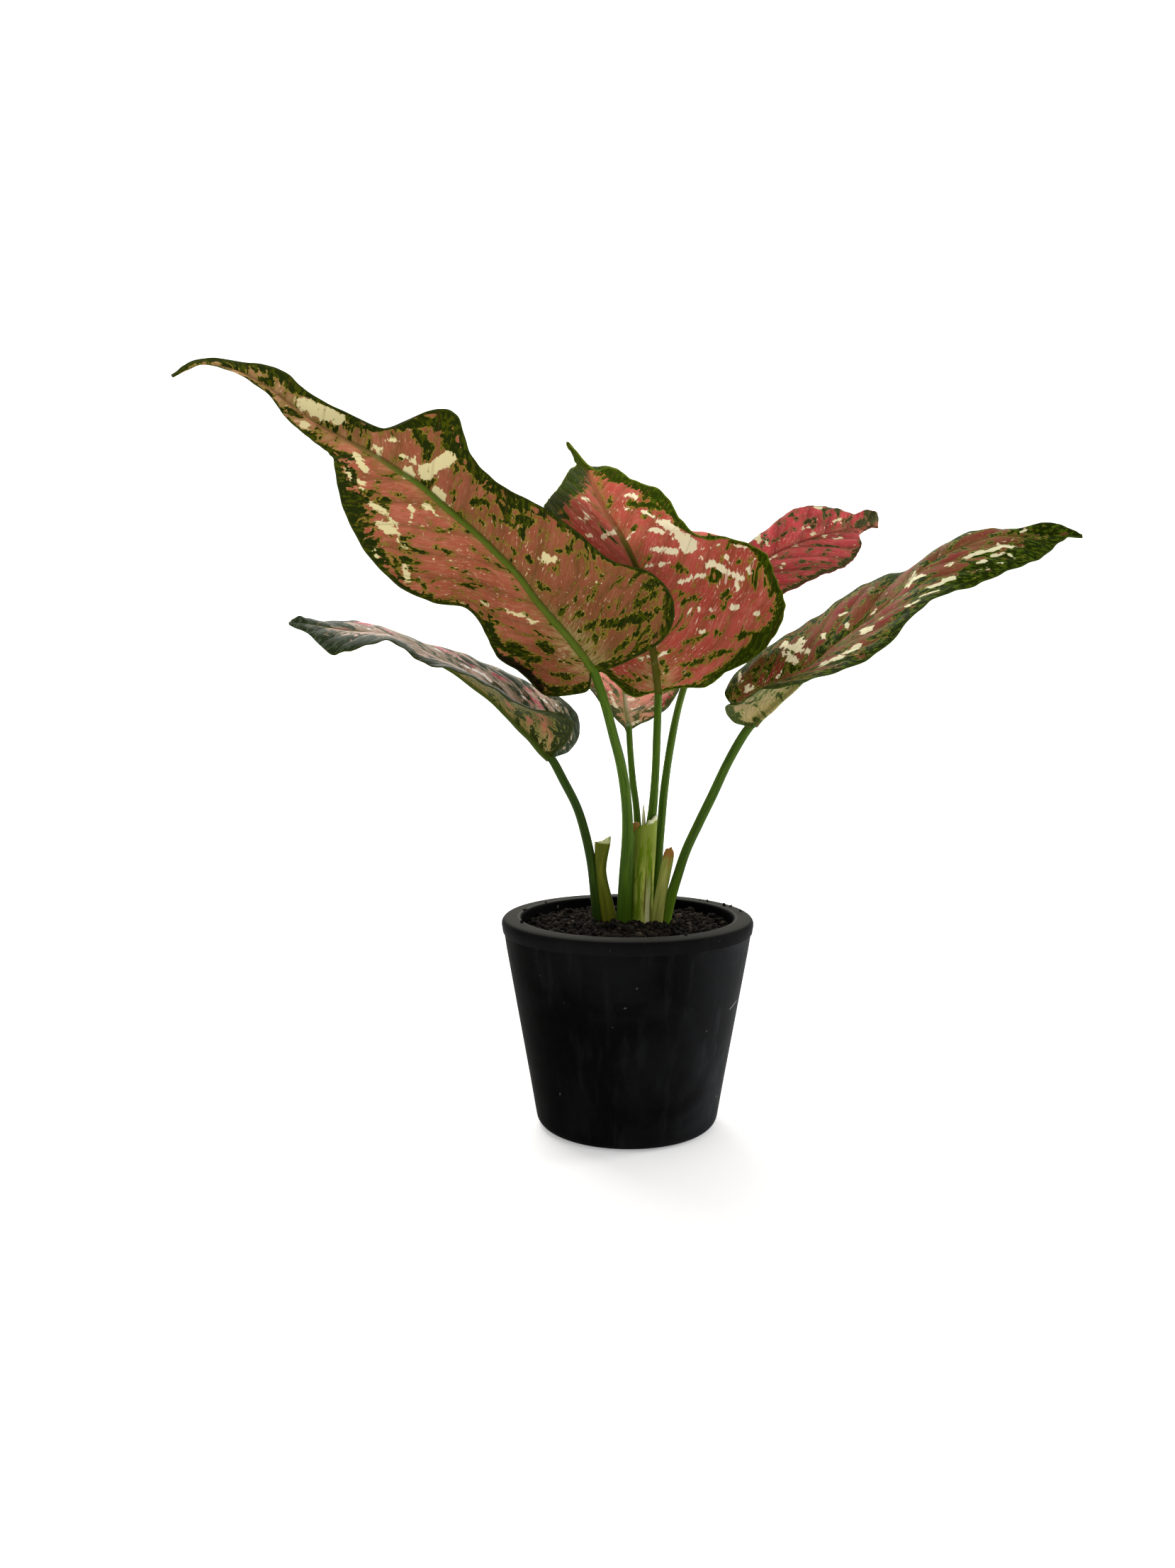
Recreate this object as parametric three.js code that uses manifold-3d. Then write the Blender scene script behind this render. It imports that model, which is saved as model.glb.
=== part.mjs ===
// A young Chinese evergreen (Aglaonema) with six pink leaves, growing in a round black pot.
// Millimetres, +Z up. The origin is the middle of the pot's flat floor, on the surface it stands on.
import * as THREE from "three";
import { mergeVertices } from "three/addons/utils/BufferGeometryUtils.js";
import Module from "manifold-3d";

const wasm = await Module();
wasm.setup();

// Driving dimensions
const GAP = 0.3; // clearance between pieces that touch
const POT_HEIGHT = 84.5;
const RIM_RADIUS = 50;
const MOUTH_RADIUS = 42;
const LIP_HEIGHT = 6;
const LIP_ROUNDING = 2.6;
const MOUTH_ROUNDING = 1.5;
const WALL_TOP_RADIUS = 49.2; // outside of the wall, just under the lip
const WALL_FOOT_RADIUS = 35.5; // outside of the wall, drawn on down to the floor
const FOOT_ROUNDING = 5.4;
const INNER_FLOOR_RADIUS = 32.5;
const FLOOR_THICKNESS = 3.5;
const DRAIN_HOLES = 6;
const DRAIN_HOLE_RADIUS = 3.5;
const DRAIN_CIRCLE_RADIUS = 20;
const POT_SIDES = 44;
const SOIL_SIDES = 28;

const SOIL_WALL_HEIGHT = 79.6; // where the soil meets the wall of the pot
const SOIL_MOUND = 2.4; // how much higher it lies round the stems
const SOIL_MOUND_RADIUS = 18;
const SOIL_LUMP = 0.45;

const CROWN_TOP = 73.7; // the stems stand on the buried crown
const STEM_FOOT = CROWN_TOP + GAP;
const ROOTS = 7;
const ROOT_SIDES = 5;
const STEM_SIDES = 8;

const BLADE_THICKNESS = 0.8;
const BLADE_STEPS = 26; // rows of facets from the base of a blade to its tip
const MIDRIB_HALF_WIDTH = 1.8;
const MIDRIB_HEIGHT = 2.0; // how far it stands out below the blade, at the base
const MIDRIB_TIP_HEIGHT = 0.3;
const BLADE_BOW = 0.06; // rise of each half between midrib and margin, as a share of its width

const BLADE_FINISH = { roughness: 0.42, metalness: 0 };
const UPPER_PINK = "#a85a5e";
const UNDER_PINK = "#b4746a";
const STALK_GREEN = "#4c6b22";

// Each row of a blade is one cross vein: its point on the midrib, then on the left margin and on the
// right margin, as seen on the upper face with the tip ahead. Rows run from the base to the tip.
// Each row of a petiole is a section: its middle, its half width and its half depth.
const LEAVES = {
  leaf_upper_left: {
    colour: UNDER_PINK,
    waves: 5,
    ruffle: 0.8,
    blade: [
      [[-13, -22, 182], [-11.5, -22, 181], [-14, -22, 180.5]],
      [[-16.5, -24, 187], [2, -19, 186.5], [-16, -18, 174]],
      [[-21, -26, 193], [14.5, -18, 195], [-31.5, -14, 172.5]],
      [[-27, -29, 200], [17, -20, 207.5], [-40, -14, 180]],
      [[-33.5, -32, 207.5], [8.5, -25, 218], [-49, -20, 187]],
      [[-40, -35, 216.5], [-6.5, -31, 222.5], [-53, -27, 196]],
      [[-48, -38, 225], [-18.5, -37, 232], [-60, -22, 204.5]],
      [[-57, -41, 233.5], [-31.5, -41, 241], [-73.5, -26, 207.5]],
      [[-66, -44, 241], [-46.5, -40, 249], [-86.5, -31, 215]],
      [[-74, -47, 248], [-56, -43, 258.5], [-98.5, -35, 229.5]],
      [[-82.5, -50, 253.5], [-60, -54, 271], [-104.5, -39, 244.5]],
      [[-91, -52, 259], [-68.5, -61, 271.5], [-105, -45, 257]],
      [[-100, -53, 263.5], [-83.5, -56, 266.5], [-105.5, -51, 259]],
      [[-109, -54, 268], [-97.5, -51, 272], [-111.5, -54, 263.5]],
      [[-118.5, -55, 275], [-111.5, -55, 279], [-119.5, -55, 270.5]],
      [[-126, -56, 281], [-120, -59, 286], [-125.5, -55, 278.5]],
      [[-136, -56, 286.5], [-132.5, -59, 288.5], [-135, -55, 285]],
      [[-148.5, -55, 289.5], [-149, -57, 290], [-148, -54, 289]],
      [[-159.5, -54, 285], [-159.5, -54.5, 285], [-159.5, -53.5, 285]],
    ],
    petiole: [
      [-0.8, -2, STEM_FOOT, 2.9, 2.6],
      [-0.8, -2.4, 85, 2.9, 2.5],
      [-0.5, -4, 99.5, 2.7, 2.4],
      [0, -6, 117, 2.3, 2.1],
      [-0.5, -9, 131, 2.1, 2],
      [-2.5, -12, 145, 2, 1.9],
      [-5.5, -15, 157, 1.9, 1.8],
      [-8.5, -18, 168.5, 1.8, 1.7],
      [-12.4, -21.4, 180.5, 1.7, 1.6],
    ],
  },
  leaf_middle: {
    colour: UNDER_PINK,
    waves: 6,
    ruffle: 0.9,
    blade: [
      [[12, 6, 173], [13, 6, 173], [10.5, 6, 173]],
      [[11.5, 5, 177], [21, 9, 174.5], [2, 9, 171]],
      [[11, 4, 182], [31.5, 10, 175], [-5.5, 14, 176.5]],
      [[10, 2, 188], [39, 9, 181], [-12.5, 17, 182.5]],
      [[9, 0, 195], [47.5, 8, 185], [-22, 18, 189.5]],
      [[8, -3, 203], [56, 6, 192.5], [-30.5, 19, 198.5]],
      [[6, -7, 211], [61, 3, 206], [-36, 18, 209]],
      [[4, -12, 219], [57.5, -1, 216], [-38.5, 14, 220]],
      [[1, -19, 225.5], [52, -7, 226.5], [-37.5, 8, 230.5]],
      [[-2.5, -28, 231.5], [41, -16, 231], [-35.5, -1, 238.5]],
      [[-6, -38, 236.5], [27.5, -25, 230], [-32, -13, 243.5]],
      [[-9, -49, 240.5], [19, -37, 237], [-28, -28, 246.5]],
      [[-11, -60, 244], [12.5, -49, 244.5], [-24, -44, 248.5]],
      [[-12.5, -70, 246.5], [3, -60, 247], [-20.5, -59, 251.5]],
      [[-13.5, -78, 248.5], [-5, -71, 251], [-18, -70, 251.5]],
      [[-15, -84, 250.5], [-11.5, -80, 249], [-17.5, -80, 251.5]],
      [[-19.5, -93, 256], [-19, -93, 255.5], [-20, -93, 256]],
    ],
    petiole: [
      [5.5, 1.5, STEM_FOOT, 2, 1.8],
      [5.5, 1.5, 85, 2, 1.8],
      [6.5, 1.5, 98.5, 2, 1.8],
      [8.5, 2, 116, 1.9, 1.8],
      [10, 3, 127, 1.8, 1.7],
      [11, 4, 141, 1.6, 1.6],
      [11.5, 5, 155, 1.6, 1.5],
      [12, 6.2, 171.5, 1.5, 1.5],
    ],
  },
  leaf_back_right: {
    colour: UPPER_PINK,
    waves: 4,
    ruffle: 0.5,
    blade: [
      [[37, 46, 209.5], [37.5, 47, 210.5], [37.5, 46, 208]],
      [[41, 49, 214], [41.5, 54, 222], [45, 45, 206.5]],
      [[48, 54, 220.5], [49.5, 63, 233], [57, 45, 209.5]],
      [[56.5, 60, 226.5], [60.5, 73, 242], [68, 49, 214.5]],
      [[67, 67, 232.5], [72, 82, 250.5], [79, 54, 219.5]],
      [[77.5, 75, 237], [83.5, 89, 253.5], [89.5, 60, 223.5]],
      [[88, 83, 240.5], [94, 95, 253], [97.5, 68, 228.5]],
      [[98, 91, 243], [102, 99, 250.5], [102.5, 77, 235]],
      [[106.5, 98, 245], [108.5, 103, 253], [103, 90, 240]],
      [[111.5, 103, 245.5], [114, 105, 251.5], [110, 99, 244.5]],
      [[114.5, 106, 245.5], [114.5, 106.5, 245.5], [114.5, 105.5, 245]],
    ],
    petiole: [
      [10.8, 4.4, STEM_FOOT, 1.8, 1.7],
      [11.5, 4.4, 83, 1.8, 1.7],
      [12, 4.6, 98.5, 1.8, 1.7],
      [12.5, 5.2, 109.5, 1.8, 1.7],
      [13.5, 7, 121, 1.7, 1.7],
      [14.5, 10, 132, 1.7, 1.6],
      [16, 14, 143, 1.6, 1.6],
      [18, 18, 154.5, 1.6, 1.5],
      [20.5, 24, 165.5, 1.5, 1.5],
      [24, 30, 177, 1.5, 1.4],
      [29, 37, 191.5, 1.4, 1.4],
      [36.4, 45.2, 208, 1.3, 1.3],
    ],
  },
  leaf_right: {
    colour: UPPER_PINK,
    waves: 5,
    ruffle: 0.6,
    blade: [
      [[47.5, -14, 161.5], [48.5, -12, 162.5], [47, -16, 160]],
      [[50, -15, 164.5], [43.5, -5, 165.5], [39.5, -22, 163]],
      [[53.5, -16, 167.5], [38.5, 5, 172.5], [36, -32, 168.5]],
      [[57, -17, 171], [44.5, 11, 181.5], [41.5, -40, 170.5]],
      [[61.5, -18, 175], [55.5, 13, 191], [47, -44, 175.5]],
      [[67, -18, 180.5], [66.5, 12, 197.5], [57.5, -46, 177]],
      [[73, -18, 186.5], [77, 11, 203.5], [68, -46, 179.5]],
      [[80, -17, 193], [87, 10, 212], [80.5, -44, 184]],
      [[87.5, -16, 198.5], [98, 8, 218], [92.5, -41, 191.5]],
      [[95.5, -15, 204.5], [110, 6, 220.5], [104.5, -37, 203]],
      [[102.5, -14, 211], [117, 4, 226], [114.5, -34, 209.5]],
      [[109.5, -12, 218.5], [123.5, 2, 231], [125, -31, 213]],
      [[118.5, -10, 224.5], [131.5, 0, 234.5], [135.5, -28, 217]],
      [[128.5, -9, 229], [140.5, -2, 235.5], [145.5, -25, 220.5]],
      [[139, -9, 232], [148.5, -6, 235.5], [153, -22, 224]],
      [[149.5, -10, 232], [157.5, -10, 237.5], [159, -18, 228.5]],
      [[161, -12, 232.5], [164.5, -12, 235.5], [164.5, -15, 231.5]],
      [[170, -14, 232], [170, -13.5, 232.5], [170, -14.5, 231.5]],
    ],
    petiole: [
      [13.8, 0.8, STEM_FOOT, 2.2, 2],
      [15, 0.6, 82, 2.2, 2],
      [17, -1, 91, 2.1, 1.9],
      [19.5, -3.2, 100, 2, 1.9],
      [23, -6, 111.5, 1.9, 1.9],
      [28, -8, 123, 1.9, 1.8],
      [33, -10, 134, 1.9, 1.8],
      [38, -12, 145.5, 1.8, 1.8],
      [43, -13, 155, 1.8, 1.7],
      [46.6, -13.7, 160.4, 1.7, 1.6],
    ],
  },
  leaf_left: {
    colour: UPPER_PINK,
    waves: 4,
    ruffle: 0.6,
    blade: [
      [[-30.5, 0, 147.5], [-30, -1, 148], [-30, 2, 147]],
      [[-34, -2, 151], [-23, -13, 155], [-23, 12, 149.5]],
      [[-37.5, -4, 155.5], [-21, -24, 162], [-19.5, 20, 158]],
      [[-42, -6, 160], [-27.5, -31, 166], [-24.5, 22, 167.5]],
      [[-46.5, -8, 165], [-38, -36, 169], [-35.5, 21, 173.5]],
      [[-52.5, -10, 171], [-47.5, -39, 175], [-47, 18, 180]],
      [[-59.5, -13, 176.5], [-56, -41, 179], [-59, 14, 184.5]],
      [[-66.5, -16, 182], [-65, -42, 182.5], [-70, 9, 189]],
      [[-74.5, -18, 186.5], [-73, -42, 185], [-80, 3, 192]],
      [[-82.5, -20, 191], [-79.5, -42, 189], [-89.5, -3, 196]],
      [[-91, -22, 194.5], [-86.5, -42, 192.5], [-99.5, -8, 199]],
      [[-100, -23, 196], [-94, -42, 191.5], [-108.5, -12, 200.5]],
      [[-108.5, -24, 197], [-102.5, -41, 189.5], [-116.5, -17, 200.5]],
      [[-116.5, -25, 198.5], [-109.5, -38, 188.5], [-121.5, -21, 201.5]],
      [[-122.5, -25, 199.5], [-118, -31, 195], [-124.5, -23, 202]],
      [[-127.5, -24, 199.5], [-127, -24.5, 199], [-127.5, -23.5, 199.5]],
    ],
    petiole: [
      [-10.3, 1.2, STEM_FOOT, 2.1, 1.9],
      [-10.6, 1.2, 82, 2.1, 1.9],
      [-12.6, 0.6, 93, 2, 1.8],
      [-14.2, 0, 104.5, 1.9, 1.8],
      [-16.5, 0, 116, 1.9, 1.8],
      [-20, 0, 127.5, 1.8, 1.8],
      [-25.5, 0, 138.5, 1.8, 1.7],
      [-29.8, 0, 146.4, 1.7, 1.6],
    ],
  },
  leaf_back: {
    colour: UPPER_PINK,
    waves: 4,
    ruffle: 0.7,
    blade: [
      [[0.5, 14, 158], [-0.5, 14, 157.5], [1, 14, 157.5]],
      [[-1, 23, 165.5], [-14, 29, 171], [17, 28, 166.5]],
      [[-2, 38, 175], [-24, 46, 185.5], [24.5, 47, 181]],
      [[-2, 46, 180], [-25.5, 57, 192], [24.5, 58, 189]],
      [[-2, 56, 185.5], [-24.5, 69, 197.5], [21.5, 70, 195.5]],
      [[-2, 67, 191], [-20, 82, 201.5], [16.5, 83, 200.5]],
      [[-1, 80, 196], [-12.5, 95, 204], [9.5, 95, 203.5]],
      [[2, 112, 204.5], [1.5, 112, 204.5], [2.5, 112, 204.5]],
    ],
    petiole: [
      [3.6, 5.8, STEM_FOOT, 1.6, 1.5],
      [4, 5.8, 85, 1.6, 1.5],
      [4.5, 6, 98, 1.5, 1.5],
      [4.5, 7, 115, 1.5, 1.4],
      [3.5, 8.5, 126.5, 1.4, 1.4],
      [2, 10.5, 137.5, 1.4, 1.3],
      [1, 12.3, 149, 1.3, 1.3],
      [0.5, 13.6, 157, 1.3, 1.2],
    ],
  },
};

// Stubs that old leaves left beside the stems, as sections like those of a petiole.
// lean is how much higher the cut end stands on its right side.
const OLD_STUBS = {
  old_sheath_left: {
    lean: 3.6,
    rows: [
      [-6.3, 0.2, STEM_FOOT, 2.5, 1.5],
      [-6.3, 0.2, 82, 2.5, 1.5],
      [-7.5, 0, 88, 2.8, 1.5],
      [-10, -0.4, 99, 2.2, 1.3],
      [-10.5, -0.5, 105, 2.3, 1.2],
      [-9.8, -0.6, 114.5, 3, 1],
    ],
  },
  old_sheath_right: {
    lean: 2,
    rows: [
      [11.4, -2, STEM_FOOT, 2, 1.1],
      [11.8, -2.2, 82, 2.1, 1.1],
      [13, -3, 92, 2, 1],
      [14.6, -4.2, 102, 1.8, 1],
      [16.2, -5.2, 111, 1.7, 0.8],
    ],
  },
};

// The cut sheath in the middle is half a tube, open to the back.
const SHEATH = {
  rows: [
    [6.2, 1.2, STEM_FOOT, 3.9],
    [6.3, 1.2, 85, 3.9],
    [6.6, 1.2, 98.5, 3.8],
    [7.2, 1.3, 110, 3.8],
    [7.6, 1.4, 119, 3.7],
  ],
  thickness: 1,
  from: 172, // degrees round the tube, 270 being the front
  to: 372,
  lean: 5.5,
};

// Closed triangle meshes

function meshOf(points, triangles) {
  const geometry = new THREE.BufferGeometry();
  geometry.setAttribute(
    "position",
    new THREE.Float32BufferAttribute(points.flatMap((p) => [p.x, p.y, p.z]), 3),
  );
  geometry.setIndex(triangles.flat());
  return geometry;
}

// A closed body between two alike sheets of points: the triangles face out on the top sheet.
function thicken(top, bottom, triangles) {
  const n = top.length;
  const edges = new Map();
  for (const [a, b, c] of triangles)
    for (const [p, q] of [[a, b], [b, c], [c, a]]) {
      if (!edges.delete(q + "/" + p)) edges.set(p + "/" + q, [p, q]);
    }
  const under = triangles.map(([a, b, c]) => [a + n, c + n, b + n]);
  const rim = [...edges.values()].flatMap(([p, q]) => [
    [q, p, p + n],
    [q, p + n, q + n],
  ]);
  return meshOf([...top, ...bottom], [...triangles, ...under, ...rim]);
}

// A closed body through rings of points, each ring anticlockwise as seen from its far end.
function loft(rings) {
  const sides = rings[0].length;
  const points = rings.flat();
  const triangles = [];
  for (let i = 0; i + 1 < rings.length; i++)
    for (let j = 0; j < sides; j++) {
      const k = (j + 1) % sides;
      const [a, b, c, d] = [i * sides + j, i * sides + k, (i + 1) * sides + k, (i + 1) * sides + j];
      triangles.push([a, b, c], [a, c, d]);
    }
  const centre = (ring) =>
    ring.reduce((sum, p) => sum.add(p), new THREE.Vector3()).divideScalar(sides);
  points.push(centre(rings[0]), centre(rings.at(-1)));
  const [low, high] = [points.length - 2, points.length - 1];
  const last = (rings.length - 1) * sides;
  for (let j = 0; j < sides; j++) {
    const k = (j + 1) % sides;
    triangles.push([low, k, j], [high, last + j, last + k]);
  }
  return meshOf(points, triangles);
}

function solidOf(geometry) {
  const bare = geometry.clone();
  bare.deleteAttribute("normal");
  bare.deleteAttribute("uv");
  const merged = mergeVertices(bare, 1e-4);
  return new wasm.Manifold(
    new wasm.Mesh({
      numProp: 3,
      vertProperties: new Float32Array(merged.attributes.position.array),
      triVerts: new Uint32Array(merged.index.array),
    }),
  );
}

// The main body of a solid, without the loose scraps that a cut can leave.
function mainBody(solid) {
  return solid.decompose().reduce((a, b) => (b.volume() > a.volume() ? b : a));
}

function geometryOf(solid) {
  const mesh = mainBody(solid).getMesh();
  const geometry = new THREE.BufferGeometry();
  geometry.setAttribute("position", new THREE.BufferAttribute(mesh.vertProperties, 3));
  geometry.setIndex(new THREE.BufferAttribute(mesh.triVerts, 1));
  geometry.computeVertexNormals();
  return geometry;
}

// Pot and soil

function innerRadius(z) {
  const t = (z - FLOOR_THICKNESS) / (POT_HEIGHT - MOUTH_ROUNDING - FLOOR_THICKNESS);
  return THREE.MathUtils.lerp(INNER_FLOOR_RADIUS, MOUTH_RADIUS, Math.min(t, 1));
}

function outerRadius(z) {
  const t = z / (POT_HEIGHT - LIP_HEIGHT);
  return THREE.MathUtils.lerp(WALL_FOOT_RADIUS, WALL_TOP_RADIUS, t);
}

// Points of an arc in the profile, from one angle to another in degrees.
function arc(x, y, radius, from, to, steps) {
  return Array.from({ length: steps + 1 }, (_, i) => {
    const a = THREE.MathUtils.degToRad(from + ((to - from) * i) / steps);
    return new THREE.Vector2(x + radius * Math.cos(a), y + radius * Math.sin(a));
  });
}

function turned(profile, sides) {
  return new THREE.LatheGeometry(profile, sides).rotateX(Math.PI / 2);
}

function pot() {
  const lean = 80; // degrees from level at which the foot's rounding runs into the wall
  const shoulder = POT_HEIGHT - LIP_HEIGHT;
  const footRadius = outerRadius(FOOT_ROUNDING) - FOOT_ROUNDING;
  const profile = [
    new THREE.Vector2(0, 0),
    ...arc(footRadius, FOOT_ROUNDING, FOOT_ROUNDING, -90, lean - 90, 5),
    new THREE.Vector2(WALL_TOP_RADIUS, shoulder),
    new THREE.Vector2(RIM_RADIUS - 0.3, shoulder + 0.5),
    ...arc(RIM_RADIUS - LIP_ROUNDING, POT_HEIGHT - LIP_ROUNDING, LIP_ROUNDING, -20, 90, 5),
    ...arc(MOUTH_RADIUS + MOUTH_ROUNDING, POT_HEIGHT - MOUTH_ROUNDING, MOUTH_ROUNDING, 90, 180, 3),
    new THREE.Vector2(INNER_FLOOR_RADIUS, FLOOR_THICKNESS),
    new THREE.Vector2(0, FLOOR_THICKNESS),
  ];
  let solid = solidOf(turned(profile, POT_SIDES));
  for (let i = 0; i < DRAIN_HOLES; i++) {
    const angle = (2 * Math.PI * i) / DRAIN_HOLES;
    const hole = new THREE.CylinderGeometry(DRAIN_HOLE_RADIUS, DRAIN_HOLE_RADIUS, 12, 16);
    hole.rotateX(Math.PI / 2);
    hole.translate(DRAIN_CIRCLE_RADIUS * Math.cos(angle), DRAIN_CIRCLE_RADIUS * Math.sin(angle), 2);
    solid = solid.subtract(solidOf(hole));
  }
  return solid;
}

function soilHeight(x, y) {
  const r = Math.hypot(x, y);
  const lumps =
    Math.sin(1.13 * x + 0.4) * Math.sin(1.27 * y + 1.1) + Math.sin(0.71 * x - 0.93 * y + 2.3);
  return SOIL_WALL_HEIGHT + SOIL_MOUND * Math.exp(-((r / SOIL_MOUND_RADIUS) ** 2)) + SOIL_LUMP * lumps;
}

function soil() {
  const floor = FLOOR_THICKNESS + GAP;
  const rings = [1, 0.86, 0.7, 0.54, 0.36, 0.18, 0];
  const reach = innerRadius(SOIL_WALL_HEIGHT) - GAP;
  const profile = [
    new THREE.Vector2(0, floor),
    new THREE.Vector2(INNER_FLOOR_RADIUS - GAP, floor),
    ...rings.map((share) => new THREE.Vector2(reach * share, SOIL_WALL_HEIGHT)),
  ];
  const geometry = turned(profile, SOIL_SIDES);
  const spots = geometry.attributes.position;
  for (let i = 0; i < spots.count; i++)
    if (spots.getZ(i) > floor) spots.setZ(i, soilHeight(spots.getX(i), spots.getY(i)));
  return solidOf(geometry);
}

// Stems

// A ring of points round the middle of a section, square to the way the stem runs.
function section(middle, along, halfWidth, halfDepth, sides) {
  const across = new THREE.Vector3(1, 0, 0).projectOnPlane(along).normalize();
  const back = new THREE.Vector3().crossVectors(along, across);
  return Array.from({ length: sides }, (_, i) => {
    const a = (2 * Math.PI * i) / sides;
    return middle
      .clone()
      .addScaledVector(across, halfWidth * Math.cos(a))
      .addScaledVector(back, halfDepth * Math.sin(a));
  });
}

// A stem through its rows. grow makes it fatter and longer, to cut its place out of a neighbour.
function stem(rows, steps, sides, grow = 0, lean = 0) {
  const path = new THREE.CatmullRomCurve3(
    rows.map(([x, y, z]) => new THREE.Vector3(x, y, z)), false, "catmullrom", 0.5);
  const girth = new THREE.CatmullRomCurve3(
    rows.map(([, , , w, d]) => new THREE.Vector3(w, d, 0)), false, "catmullrom", 0.5);
  const rings = Array.from({ length: steps + 1 }, (_, i) => {
    const u = i / steps;
    const along = path.getTangent(u);
    const middle = path.getPoint(u);
    if (i === 0) {
      along.set(0, 0, 1);
      middle.z -= grow;
    }
    if (i === steps) middle.addScaledVector(along, grow);
    const size = girth.getPoint(u);
    const ring = section(middle, along, size.x + grow, size.y + grow, sides);
    if (i === steps) ring.forEach((p) => (p.z += ((p.x - middle.x) / size.x) * (lean / 2)));
    return ring;
  });
  return loft(rings);
}

function petiole(leaf, grow = 0) {
  return solidOf(stem(leaf.petiole, 2 * (leaf.petiole.length - 1), STEM_SIDES, grow));
}

function oldStub({ rows, lean }, grow = 0) {
  return solidOf(stem(rows, 2 * (rows.length - 1), STEM_SIDES, grow, lean));
}

function openSheath({ rows, thickness, from, to, lean }, grow = 0) {
  const steps = 9;
  const spread = THREE.MathUtils.radToDeg(grow / rows[0][3]);
  const rings = rows.map(([x, y, z, radius], i) => {
    const outer = arc(x, y, radius + grow, from - spread, to + spread, steps);
    const inner = arc(x, y, radius - thickness - grow, to + spread, from - spread, steps);
    const isTop = i === rows.length - 1;
    const ends = i === 0 ? -grow : isTop ? grow : 0;
    return [...outer, ...inner].map((p) => {
      const tilt = isTop ? ((p.x - x) / radius) * (lean / 2) : 0;
      return new THREE.Vector3(p.x, p.y, z + ends + tilt);
    });
  });
  return solidOf(loft(rings));
}

// The crown that the stems rise from, and its fleshy roots, all in the soil.
function crownAndRoots(grow = 0) {
  const crown = [
    [4, 1, 38, 3.5, 3.5],
    [3.5, 1, 46, 5.5, 5],
    [3, 1, 56, 7.5, 5.5],
    [2, 1, 66, 11.5, 6],
    [2, 1, CROWN_TOP, 14.6, 7],
  ];
  let solid = solidOf(stem(crown, crown.length - 1, 12, grow));
  for (let i = 0; i < ROOTS; i++) {
    const angle = (2 * Math.PI * i) / ROOTS + 0.35 * Math.sin(5 * i);
    const reach = 20 + 5 * Math.sin(2.3 * i + 1);
    const start = 44 + 12 * (i % 3) / 2;
    const end = 12 + 7 * Math.abs(Math.sin(1.7 * i));
    const root = [0, 0.3, 0.6, 0.85, 1].map((t) => {
      const bend = angle + 0.5 * t * Math.cos(3 * i);
      const r = 1.5 + reach * Math.sin((t * Math.PI) / 2);
      const z = THREE.MathUtils.lerp(start, end, t * t);
      const thick = 2.3 - 1.2 * t;
      return [3.5 + r * Math.cos(bend) * 0.95, 1 + r * Math.sin(bend), z, thick, thick];
    });
    solid = solid.add(solidOf(rootLimb(root, grow)));
  }
  return solid;
}

function rootLimb(rows, grow) {
  const path = new THREE.CatmullRomCurve3(rows.map(([x, y, z]) => new THREE.Vector3(x, y, z)));
  const steps = 5;
  const rings = Array.from({ length: steps + 1 }, (_, i) => {
    const u = i / steps;
    const thick = THREE.MathUtils.lerp(rows[0][3], rows.at(-1)[3], u) + grow;
    const along = path.getTangent(u);
    const middle = path.getPoint(u);
    if (i === steps) middle.addScaledVector(along, grow);
    const side = new THREE.Vector3(0, 0, 1).cross(along).normalize();
    const up = new THREE.Vector3().crossVectors(along, side);
    return Array.from({ length: ROOT_SIDES }, (_, k) => {
      const a = (2 * Math.PI * k) / ROOT_SIDES;
      return middle
        .clone()
        .addScaledVector(side, thick * Math.cos(a))
        .addScaledVector(up, thick * Math.sin(a));
    });
  });
  return loft(rings);
}

// Blades

function bladeCurves(rows) {
  const [mid, left, right] = [0, 1, 2].map(
    (k) =>
      new THREE.CatmullRomCurve3(
        rows.map((row) => new THREE.Vector3(...row[k])), false, "catmullrom", 0.5),
  );
  return { mid, left, right };
}

// A point on the middle sheet of a blade: u from base to tip, v from -1 on the left margin to 1 on
// the right. Each half rises between midrib and margin, and the margin ripples.
function bladePoint(leaf, curves, u, v) {
  const mid = curves.mid.getPoint(u);
  const out = (v < 0 ? curves.left : curves.right).getPoint(u).sub(mid);
  const along = curves.mid.getTangent(u);
  const up = new THREE.Vector3().crossVectors(out, along).normalize();
  if (v < 0) up.negate();
  const a = Math.abs(v);
  const bow = BLADE_BOW * out.length() * 4 * a * (1 - a);
  const swing = Math.sin(2 * Math.PI * leaf.waves * u + 3 * Math.sign(v));
  const ripple = leaf.ruffle * a ** 3 * Math.sin(Math.PI * u) * swing;
  return mid.addScaledVector(out, a).addScaledVector(up, bow + ripple);
}

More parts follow.
